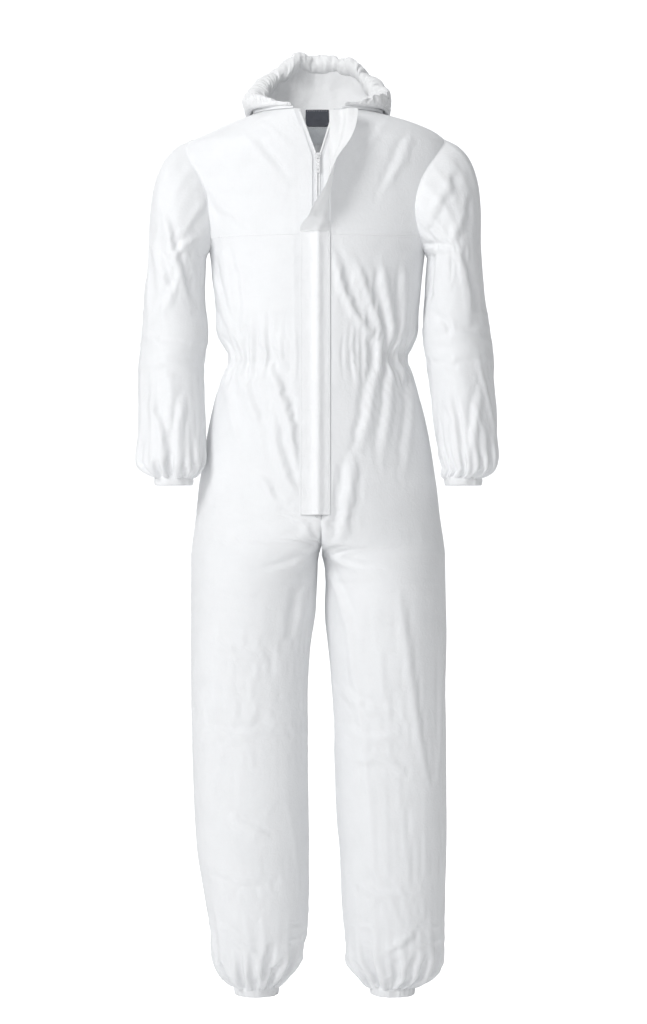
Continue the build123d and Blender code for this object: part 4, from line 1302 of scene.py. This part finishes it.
# Profiles of the bag from the neck to the hem: angle, then points of distance out, z.
HOOD_PROFILES = [
    (0, [(30.5, 1411), (48, 1394), (70, 1394), (88, 1422),
         (91, 1464), (74, 1504), (50, 1527), (27.0, 1536)]),
    (28, [(28.0, 1413), (43, 1399), (62, 1402), (78, 1426),
          (80, 1462), (66, 1497), (45, 1517), (24.5, 1528)]),
    (52, [(22.0, 1425), (32, 1417), (46, 1421), (56, 1438),
          (57, 1463), (49, 1486), (34, 1503), (19.0, 1512)]),
    (76, [(12.0, 1441), (17, 1438.5), (24, 1441), (29, 1449),
          (30, 1462), (27, 1474), (20, 1484), (11.5, 1490)]),
    (100, [(6.0, 1446.5), (9, 1445.5), (13, 1447), (15.5, 1451),
           (16, 1457), (14.5, 1464), (12, 1470), (8.4, 1473)]),
    (132, [(4.0, 1447), (6, 1446.2), (8.6, 1447), (10.4, 1449.6),
           (11, 1453), (10.6, 1457), (9.8, 1460.5), (8.2, 1463)]),
    (150, [(2.6, 1446.4), (4.4, 1446), (6.4, 1447), (8.0, 1449),
           (8.8, 1452), (8.8, 1455), (8.4, 1458), (7.2, 1461)]),
]
# Neck band from inside over the top to outside: distance out, z, share of the rise.
NECK_BAND = [
    (-2.0, 1428, 0), (-1.4, 1438, 0.4), (-1.2, 1443, 1), (-0.2, 1445.4, 1),
    (1.2, 1445.2, 1), (1.6, 1442.5, 0.8), (1.4, 1440.2, 0),
]
SHOULDER_LEVELS = np.arange(1240, 1441, 2.0)
SHOULDER_OVALS = oval(table_at(TORSO, SHOULDER_LEVELS))


def ring_xy(angle, out):
    t = np.radians(angle)
    away_x, away_y = RING_HALF_DEPTH * np.sin(t), RING_HALF_WIDTH * np.cos(t)
    length = np.hypot(away_x, away_y)
    return (RING_HALF_WIDTH * np.sin(t) + out * away_x / length,
            RING_Y + RING_HALF_DEPTH * np.cos(t) + out * away_y / length)


def ring_points(angle, out, z):
    x, y = ring_xy(angle, out)
    return np.stack(np.broadcast_arrays(x, y, z), -1)


def neck_rise(angle):
    """How much higher the neck seam stands towards the back."""
    return 4.5 * smoothstep(150, 30, np.abs(angle))


def shoulder_z(x, y):
    """Height of the torso's surface: the top level whose section holds (x, y)."""
    middle_x, middle_y, half_width, half_depth = SHOULDER_OVALS
    inside = (((x[..., None] - middle_x) / half_width) ** 2
              + ((y[..., None] - middle_y) / half_depth) ** 2) <= 1
    return np.where(inside, SHOULDER_LEVELS, 0).max(-1)


def hood_profile(angle):
    angle = abs(angle)
    keys = [key for key, _ in HOOD_PROFILES]
    i = min(max(np.searchsorted(keys, angle, side="right") - 1, 0), len(keys) - 2)
    t = np.clip((angle - keys[i]) / (keys[i + 1] - keys[i]), 0, 1)
    t = t * t * (3 - 2 * t) * 0.4 + t * 0.6
    profile = (np.array(HOOD_PROFILES[i][1], float) * (1 - t)
               + np.array(HOOD_PROFILES[i + 1][1], float) * t)
    # the cloth hangs closer beside the neck than behind it, and dies away at the front ends
    profile[:, 0] *= 1 - 0.34 * smoothstep(30, 62, angle) * (1 - smoothstep(100, 130, angle))
    end = smoothstep(122, 150, angle)
    profile[:, 1] = 1446.0 + (profile[:, 1] - 1446.0) * (1 - 0.72 * end)
    profile[:, 0] *= 1 - 0.45 * end
    lift = 20.0 * (1 - smoothstep(0, 55, angle))
    profile[:, 1] += lift * smoothstep(1440, 1530, profile[:, 1])
    return curve_through(profile, BAG_ROWS)


def hem_middle():
    """Distance out and z of the hem's middle at each hood angle, a little uneven."""
    away = np.abs(HOOD_ANGLES)
    floppy = smoothstep(140, 70, away)
    kernel = np.hanning(15)
    kernel /= kernel.sum()
    lines = []
    for column, swing, pitch, y, seed in ((1, 5.0, 21.0, 1.7, 78), (2, 6.5, 17.0, 9.1, 79)):
        line = np.interp(away, HEM_LINE[:, 0], HEM_LINE[:, column])
        line = line + floppy * swing * layered_noise(HOOD_ANGLES / pitch, y, 0, seed)
        lines.append(np.convolve(np.pad(line, 7, mode="edge"), kernel, mode="valid"))
    return lines


def hood_base(hem_out, hem_z):
    base = np.zeros((BAG_ROWS + ROLL_ROWS, len(HOOD_ANGLES), 3))
    steps = np.linspace(0, 1, ROLL_ROWS + 1)[1:]
    for j, angle in enumerate(HOOD_ANGLES):
        away = abs(angle)
        profile = hood_profile(angle)
        uneven = 0.4 + 3.4 * smoothstep(130, 60, away)
        roll_radius = (2.4 + 3.4 * smoothstep(153, 126, away) + 9.4 * smoothstep(140, 52, away)
                       + uneven * noise(angle / 13.0, 3.3, 0, 77))
        centre = np.array([hem_out[j], hem_z[j]])
        spoke = profile[-1] - centre
        start_radius = np.hypot(*spoke)
        turn = math.atan2(spoke[1], spoke[0]) + steps * math.radians(318)
        radius = start_radius + (roll_radius - start_radius) * smoothstep(0, 0.25, steps)
        roll = centre + radius[:, None] * np.stack([np.cos(turn), np.sin(turn)], 1)
        section = np.vstack([profile, roll])
        base[:, j] = ring_points(angle, section[:, 0], section[:, 1])
    floor_z = shoulder_z(base[..., 0], base[..., 1]) + 4.5
    base[:BAG_ROWS, :, 2] = np.maximum(base[:BAG_ROWS, :, 2], floor_z[:BAG_ROWS])
    return base


def hood_relief(row, away, arc):
    """Ruffles towards the hem, large folds and sagging over the bag."""
    near_hem = smoothstep(16, BAG_ROWS - 2, row)
    ruffles = folds(arc / 9.5 + 0.5 * noise(row / 16.0, arc / 30.0, 0, 4), row / 34.0, 0, 201)
    fine = folds(arc / 4.6, row / 18.0, 0, 211)
    bag = near_hem * (5.0 * ruffles + 1.4 * fine) * (0.25 + 0.75 * smoothstep(150, 100, away))
    roll = ((0.5 + 3.2 * smoothstep(140, 60, away)) * ruffles
            + (0.2 + 0.9 * smoothstep(140, 90, away)) * fine)
    relief = np.where(row >= BAG_ROWS, roll, bag)
    relief += (layered_noise(arc / 42.0, row / 17.0, 0, 221) * 6.5 * smoothstep(2, 14, row)
               * (1 - smoothstep(BAG_ROWS - 12, BAG_ROWS + 4, row))
               * smoothstep(140, 95, away))
    relief += (folds(arc / 120.0, row / 9.0, 0, 231) * 2.6 * smoothstep(2, 10, row)
               * (1 - smoothstep(BAG_ROWS - 22, BAG_ROWS - 6, row)) * smoothstep(120, 70, away))
    return relief


def hood_cloth(hem_out, hem_z):
    """The smooth grid, the draped grid and its outward normals."""
    base = hood_base(hem_out, hem_z)
    normals = grid_normals(base, False)
    middle_out = hem_out + 22 * (1 - np.abs(HOOD_ANGLES) / 152.0)
    bag_middle = ring_points(HOOD_ANGLES, middle_out, 0.5 * (1430 + hem_z))
    outward = np.sign(((base - bag_middle) * normals).sum(-1)[:BAG_ROWS].mean())
    normals = normals * outward
    shape = base.shape[:2]
    row = np.arange(shape[0])[:, None] * np.ones(shape)
    away = np.broadcast_to(np.abs(HOOD_ANGLES), shape)
    arc = np.broadcast_to(lengths_along(ring_points(HOOD_ANGLES, 0, hem_z)), shape)
    start = base + normals * hood_relief(row, away, arc)[..., None]
    free = np.ones(shape)
    free[[0, -1]] = 0
    full = smoothstep(150, 70, away)
    cloth = drape(base, start, free, goal=0.012, limit_in=3.0 + 6.0 * full,
                  limit_out=2.0 + 4.0 * full,
                  slack_across=0.03 + 0.10 * smoothstep(16, BAG_ROWS - 2, row),
                  slack_along=0.03, closed=False,
                  coarse_steps=36, fine_steps=13, bend=0.3, gravity=0.01)
    floor_z = shoulder_z(cloth[..., 0], cloth[..., 1]) + 2.2
    cloth[:BAG_ROWS, :, 2] = np.maximum(cloth[:BAG_ROWS, :, 2], floor_z[:BAG_ROWS])
    cloth = soften(cloth, closed=False)
    return base, cloth, grid_normals(cloth, False) * outward


def hood_seams(cloth, normals):
    """The hem's stitch line, and the seam down the middle of the back."""
    row = BAG_ROWS - 3
    up = normals[row]
    stitch = seam_strip("hood_hem_stitch", smooth_line(cloth[row] + up * 0.3, passes=1), up,
                        width=1.7, height=0.5)
    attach(stitch, "hood")
    back = (slice(1, BAG_ROWS - 4), len(HOOD_ANGLES) // 2)
    up = normals[back]
    seam = seam_strip("hood_back_seam", smooth_line(cloth[back] + up * 0.3), up,
                      width=3.0, height=0.9)
    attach(seam, "hood")


def hood_cord(hem_out, hem_z):
    """The elastic cord in the hem."""
    middle = ring_points(HOOD_ANGLES, hem_out, hem_z)
    along = unit(np.gradient(middle, axis=0))
    aside = unit(np.cross(along, np.array([0, 0, 1.0])))
    up = np.cross(aside, along)
    grid = np.stack([middle + (aside * math.cos(turn) + up * math.sin(turn)) * 1.3
                     for turn in np.linspace(0, 2 * math.pi, 8, endpoint=False)], 1)
    cord = make_grid("hood_elastic_cord", grid, ELASTIC, closed=True)
    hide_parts("hood_elastic")
    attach(cord, "hood")


def hood_hem_ends(cloth):
    """Rounded closed ends of the hem at the front."""
    last = len(HOOD_ANGLES) - 1
    for word, column, inner in (("right", 0, 4), ("left", last, last - 4)):
        ring = cloth[BAG_ROWS - 4:, column]
        centre = ring.mean(axis=0)
        ahead = unit(cloth[BAG_ROWS:, column].mean(0) - cloth[BAG_ROWS:, inner].mean(0))
        rows = []
        for t in np.linspace(0, 1, 7):
            share = max(math.cos(t * math.pi / 2), 0.02)
            rows.append(centre + (ring - centre) * share
                        + ahead * (5.0 * math.sin(t * math.pi / 2)))
        end = make_grid("hood_hem_end_" + word, np.array(rows), HOOD_CLOTH, closed=True,
                        outward=ahead)
        rounded(end)
        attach(end, "hood")


def neck_band():
    """The band on the body, up to the hood's seam."""
    angle = np.linspace(-158, 158, 260)
    away = np.abs(angle)
    rise = 5.0 * smoothstep(150, 30, away) - 1.5 * smoothstep(140, 158, away)
    rows = [ring_points(angle, out + 0.5 * noise(angle / 7.0, z / 9.0, 0, 301),
                        z + share * rise)
            for out, z, share in NECK_BAND]
    band = make_grid("neck_band", np.array(rows), SUIT_CLOTH)
    thicken(band, 0.4)
    rounded(band)
    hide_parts("hood_neck_band")
    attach(band, "suit")


def sectors(edges, count):
    """Number, lap and angles of each strip. Every second strip laps over its neighbours, so
    that no gap opens when the hood goes up."""
    for number, (begin, end) in enumerate(zip(edges[:-1], edges[1:])):
        lap = SECTOR_LAP if number % 2 else 0.0
        yield number, lap, np.linspace(max(begin - lap, edges[0]), min(end + lap, edges[-1]),
                                       count)


def hood_lining(hem_out, hem_z):
    """The inner layer, from the neck seam up to the inside of the hem."""
    for number, lap, angle in sectors((-150, -110, -72, -34, 34, 72, 110, 150), 44):
        away = np.abs(angle)
        j = np.interp(angle, HOOD_ANGLES, np.arange(len(HOOD_ANGLES))).astype(int)
        roll_radius = 4.0 + 10.5 * smoothstep(150, 52, away)
        low = ring_points(angle, 1.0, 1445.5 + neck_rise(angle))
        high = ring_points(angle, hem_out[j] - 0.55 * roll_radius,
                           hem_z[j] - 0.35 * roll_radius)
        outward = unit(ring_points(angle, 10.0, 0) - ring_points(angle, 1.0, 0))
        rows = []
        for t in np.linspace(0, 1, 26):
            bulge = 9.0 * math.sin(math.pi * t) * smoothstep(120, 30, away) + 0.12 * lap
            ripple = (2.2 * layered_noise(angle / 17.0, t * 2.2, 0, 331)
                      * math.sin(math.pi * min(t, 0.999))
                      + 0.9 * folds(angle / 5.0, t * 1.3, 0, 341) * t * t)
            rows.append(low * (1 - t) + high * t + outward * (bulge + ripple)[:, None])
        strip = make_grid(f"hood_lining_{number}", np.array(rows), HOOD_CLOTH)
        rounded(strip)
        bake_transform(strip)


def hood_neck_folds(cloth):
    """Cloth between the neck seam and the bag, in strips that each draw out lengthwise."""
    for number, lap, angle in sectors((-152, -112, -72, -32, 32, 72, 112, 152), 40):
        place = np.interp(angle, HOOD_ANGLES, np.arange(len(HOOD_ANGLES)))
        j = np.clip(place.astype(int), 0, len(HOOD_ANGLES) - 2)
        share = (place - j)[:, None]
        end = cloth[0, j] * (1 - share) + cloth[0, j + 1] * share
        start = ring_points(angle, 1.7, 1444.5 + neck_rise(angle))
        rows = []
        for t in np.linspace(0, 1, 24):
            line = start * (1 - t) + end * t
            line[:, 2] += 1.4 * math.sin(math.pi * t) + 0.1 * lap
            line[:, 2] = np.maximum(line[:, 2], shoulder_z(line[:, 0], line[:, 1]) + 1.5)
            rows.append(line)
        grid = np.array(rows)
        uneven = noise(angle[None, :] / 4.0, np.linspace(0, 3, 22)[:, None], 0, 311)
        grid[1:-1, :, 2] += 0.7 * np.abs(uneven)
        strip = make_grid(f"hood_neck_fold_{number}", grid, HOOD_CLOTH)
        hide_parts("hood_neck_fold")
        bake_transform(strip)


def build_hood():
    hem_out, hem_z = hem_middle()
    base, cloth, normals = hood_cloth(hem_out, hem_z)
    hood = make_grid("hood_cloth", cloth, HOOD_CLOTH, rest=base, outward=normals)
    rounded(hood)
    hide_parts("hood_panel_right", "hood_panel_left", "hood_hem")
    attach(hood, "hood")
    hood_seams(cloth, normals)
    hood_cord(hem_out, hem_z)
    hood_hem_ends(cloth)
    neck_band()
    hood_lining(hem_out, hem_z)
    hood_neck_folds(cloth)


# --------------------------------------------------------------------------------------------
# Storm flap, laid out on the zip plane: x, distance up from the neck point, height off it
# --------------------------------------------------------------------------------------------
FLAP_SEWN_X, FLAP_FREE_X = 19.4, -29.0
FLAP_HINGE_X, FLAP_HINGE_HEIGHT = 19.0, 1.2
FLAP_STITCH_X = (-25.6, 16.0)
FLAP_CUT_Z = 1239.4
OPEN_FROM, OPEN_FULLY = 1.225, 1.440     # metres: where the flap starts to open, fully turned
LOW_STITCH_LIFT, UP_STITCH_LIFT = 1.05, 0.55


def zip_point(x, up, height):
    x, up, height = np.broadcast_arrays(x, up, height)
    return np.stack([x, NECK_FRONT_Y + up * ZIP_UP[1] + height * ZIP_OUT[1],
                     NECK_Z + up * ZIP_UP[2] + height * ZIP_OUT[2]], -1)


def flap_shape(x, up):
    """The smooth grid, and the x and height of the uneven closed flap."""
    from_sewn = FLAP_SEWN_X - x
    near_free = smoothstep(20, 48, from_sewn)
    smooth = 1.1 + 5.5 * bell(x, 0, 8.2) - 0.2 * smoothstep(14, 19, x)
    soft = 0.55 * layered_noise(x / 14.0, up / 34.0, 0, 401) * smoothstep(0, 9, from_sewn)
    pinch = (0.8 * folds(up / 17.0, x / 60.0, 0, 411) * smoothstep(0, 6, from_sewn)
             * (1 - smoothstep(12, 30, from_sewn)))
    edge = 0.9 * noise(up / 26.0, 0, 0, 421) * near_free
    height = smooth + np.abs(soft) * 0.8 + 0.35 * pinch + np.abs(edge)
    # stitch channels near both edges
    height -= 0.35 * bell(x, FLAP_STITCH_X[0], 0.9) + 0.3 * bell(x, FLAP_STITCH_X[1], 0.9)
    uneven_x = x + 0.7 * noise(up / 40.0, 2.0, 0, 431) * near_free
    return zip_point(x, up, smooth), uneven_x, height


def turned_flap(x, height, up, row_z):
    share = smoothstep(OPEN_FROM, OPEN_FULLY, row_z * MM)[:, None]
    # between the closed part and the open part the cloth stands up before it lies over
    standing = (smoothstep(CHEST_Z, 1262, row_z) * (1 - smoothstep(1290, 1366, row_z)))[:, None]
    across, off = x - FLAP_HINGE_X, height - FLAP_HINGE_HEIGHT
    reach = smoothstep(0, 48, -across)
    curl = -math.radians(26.0) * share * reach * np.sin(np.pi * reach) * 0.6
    angle = math.radians(160.0) * share + math.radians(34.0) * standing + curl
    turned_x = across * np.cos(angle) + off * np.sin(angle)
    turned_height = -across * np.sin(angle) + off * np.cos(angle)
    wave = (1.6 * noise(up / 30.0, across / 40.0, 0, 441)
            + 0.8 * noise(up / 11.0, across / 20.0, 0, 442)) * share * reach
    return zip_point(FLAP_HINGE_X + turned_x, up, FLAP_HINGE_HEIGHT + turned_height + wave)


def attach_flap(piece, is_low):
    if is_low:
        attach(piece, "suit")
    else:
        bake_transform(piece)


def build_flap():
    row_up = np.linspace(-655.0, -4.0, 300)
    columns = np.concatenate([[FLAP_SEWN_X], np.linspace(18.6, -28.2, 42), [FLAP_FREE_X]])
    up, x = np.meshgrid(row_up, columns, indexing="ij")
    base, uneven_x, height = flap_shape(x, up)
    row_z = NECK_Z + row_up * ZIP_UP[2]
    cut = int(np.argmin(np.abs(row_z - FLAP_CUT_Z)))
    closed_part = zip_point(uneven_x, up, height)[:cut + 1]
    open_part = turned_flap(uneven_x, height, up, row_z)[cut:]
    low = make_grid("storm_flap_low", closed_part, FLAP_CLOTH, rest=base[:cut + 1],
                    outward=ZIP_OUT)
    # the open part wears the lighter copy of the flap's cloth, which is painted light
    upper = make_grid("storm_flap_up", open_part, PAINTED_LIT_FLAP_CLOTH, rest=base[cut:])
    thicken(low, 0.5, offset=1.0)
    for piece, replaced in ((low, "storm_flap_lower"), (upper, "storm_flap_upper")):
        rounded(piece)
        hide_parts(replaced)
        attach_flap(piece, piece is low)
    for word, grid, lift in (("low", closed_part, LOW_STITCH_LIFT),
                             ("up", open_part, UP_STITCH_LIFT)):
        normals = grid_normals(grid, False)
        normals *= np.sign((normals[:3] * ZIP_OUT).sum())
        for number, stitch_x in enumerate(FLAP_STITCH_X):
            j = int(np.argmin(np.abs(columns - stitch_x)))
            line = stitches(f"flap_stitch_{word}_{number}", grid[:, j] + normals[:, j] * lift,
                            normals[:, j])
            attach_flap(line, word == "low")
    row = closed_part[3]
    line = stitches("flap_stitch_end", row + ZIP_OUT * LOW_STITCH_LIFT,
                    np.broadcast_to(ZIP_OUT, row.shape))
    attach(line, "suit")


# --------------------------------------------------------------------------------------------
# Labels, inside the back of the neck and facing forwards
# --------------------------------------------------------------------------------------------
def build_label(node, x_min, x_max, y, z_min, z_max, material, seed):
    z, x = np.meshgrid(np.linspace(z_min, z_max, 28), np.linspace(x_min, x_max, 40),
                       indexing="ij")
    across = (x - x_min) / (x_max - x_min)
    below_top = 1 - (z - z_min) / (z_max - z_min)
    bent_y = (y - 1.2 * np.sin(math.pi * across) - 2.2 * below_top ** 2
              + 0.35 * noise(x / 9, z / 9, 0, 500 + seed))
    uneven_x = x + 0.5 * below_top * noise(z / 8, 1.0, 0, 510 + seed)
    grid = np.stack([uneven_x, bent_y, z], -1)
    forward = np.array([0, -1.0, 0])
    label = make_grid(node + "_cloth", grid, material, outward=forward)
    thicken(label, 0.35)
    rounded(label)
    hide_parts(node)
    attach(label, "suit")
    line = grid[-3, 2:-2] + forward * 0.4
    stitch = stitches(node + "_cloth_stitch", line, np.broadcast_to(forward, line.shape),
                      length=2.0, gap=0.9, radius=0.25)
    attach(stitch, "suit")


# --------------------------------------------------------------------------------------------
# Studio: pale floor under white surroundings, main light from the wearer's right
# --------------------------------------------------------------------------------------------
def build_floor():
    steps = np.linspace(-14000, 14000, 5)
    grid = np.array([[(x, y, -0.5) for x in steps] for y in steps])
    make_grid("floor", grid, studio_paper())


def build_world(scene):
    """White to the camera, dimmer as a light."""
    world = bpy.data.worlds.new("studio")
    scene.world = world
    world.use_nodes = True
    nodes, links = world.node_tree.nodes, world.node_tree.links
    background = nodes["Background"]
    background.inputs["Color"].default_value = (0.97, 0.985, 1.0, 1)
    ray = nodes.new("ShaderNodeLightPath")
    strength = nodes.new("ShaderNodeMath")
    strength.operation = "MULTIPLY_ADD"
    camera_extra, ambient = 0.72, 0.28
    strength.inputs[1].default_value = camera_extra
    strength.inputs[2].default_value = ambient
    links.new(ray.outputs["Is Camera Ray"], strength.inputs[0])
    links.new(strength.outputs[0], background.inputs["Strength"])


def area_light(scene, name, place, target, size, power):
    light = bpy.data.lights.new(name, "AREA")
    light.shape = "RECTANGLE"
    light.size, light.size_y = size
    light.energy = power
    light.color = (1, 1, 1)
    lamp = bpy.data.objects.new(name, light)
    scene.collection.objects.link(lamp)
    lamp.location = place
    lamp.rotation_euler = (Vector(target) - Vector(place)).to_track_quat("-Z", "Y").to_euler()


# Name, place, target, size, power in watts.
LIGHTS = [
    ("key", (-2.5, -3.1, 3.1), (0, 0, 1.1), (1.4, 2.0), 96),
    ("front", (0.3, -4.6, 1.9), (0, 0, 0.8), (2.0, 2.0), 13),
    ("top", (0.0, 0.4, 3.6), (0, 0, 0.8), (2.0, 2.0), 12),
    ("rim", (2.6, 1.4, 1.7), (0, 0, 0.9), (1.0, 2.2), 3),
    ("back", (-1.6, 3.6, 2.8), (0, 0, 0.9), (1.6, 1.6), 38),
]


def build_camera(scene):
    """Looks level along +Y at the front of the suit."""
    camera = bpy.data.cameras.new("camera")
    camera.sensor_fit = "VERTICAL"
    camera.sensor_height = 24.0
    camera.lens = 65.0994575
    holder = bpy.data.objects.new("camera", camera)
    scene.collection.objects.link(holder)
    holder.location = (0.0089, -4.55, 0.7906)
    holder.rotation_euler = (math.pi / 2, 0, 0)
    scene.camera = holder


def build_studio():
    scene = bpy.context.scene
    build_floor()
    scene.view_settings.view_transform = "Standard"
    scene.view_settings.look = "None"
    scene.view_settings.exposure = 0.31
    build_world(scene)
    for light in LIGHTS:
        area_light(scene, *light)
    build_camera(scene)


dress_frame()
for body_side in SIDE_NAMES:
    build_half(body_side)
for sleeve_side in SIDE_NAMES:
    build_sleeve(sleeve_side)
build_hood()
build_flap()
build_label("neck_label", x_min=-21, x_max=18, y=78.9, z_min=1433.0, z_max=1461.0,
            material=DARK_LABEL, seed=1)
build_label("care_label", x_min=-18, x_max=17, y=77.7, z_min=1404.0, z_max=1432.0,
            material=GREY_LABEL, seed=2)
build_studio()
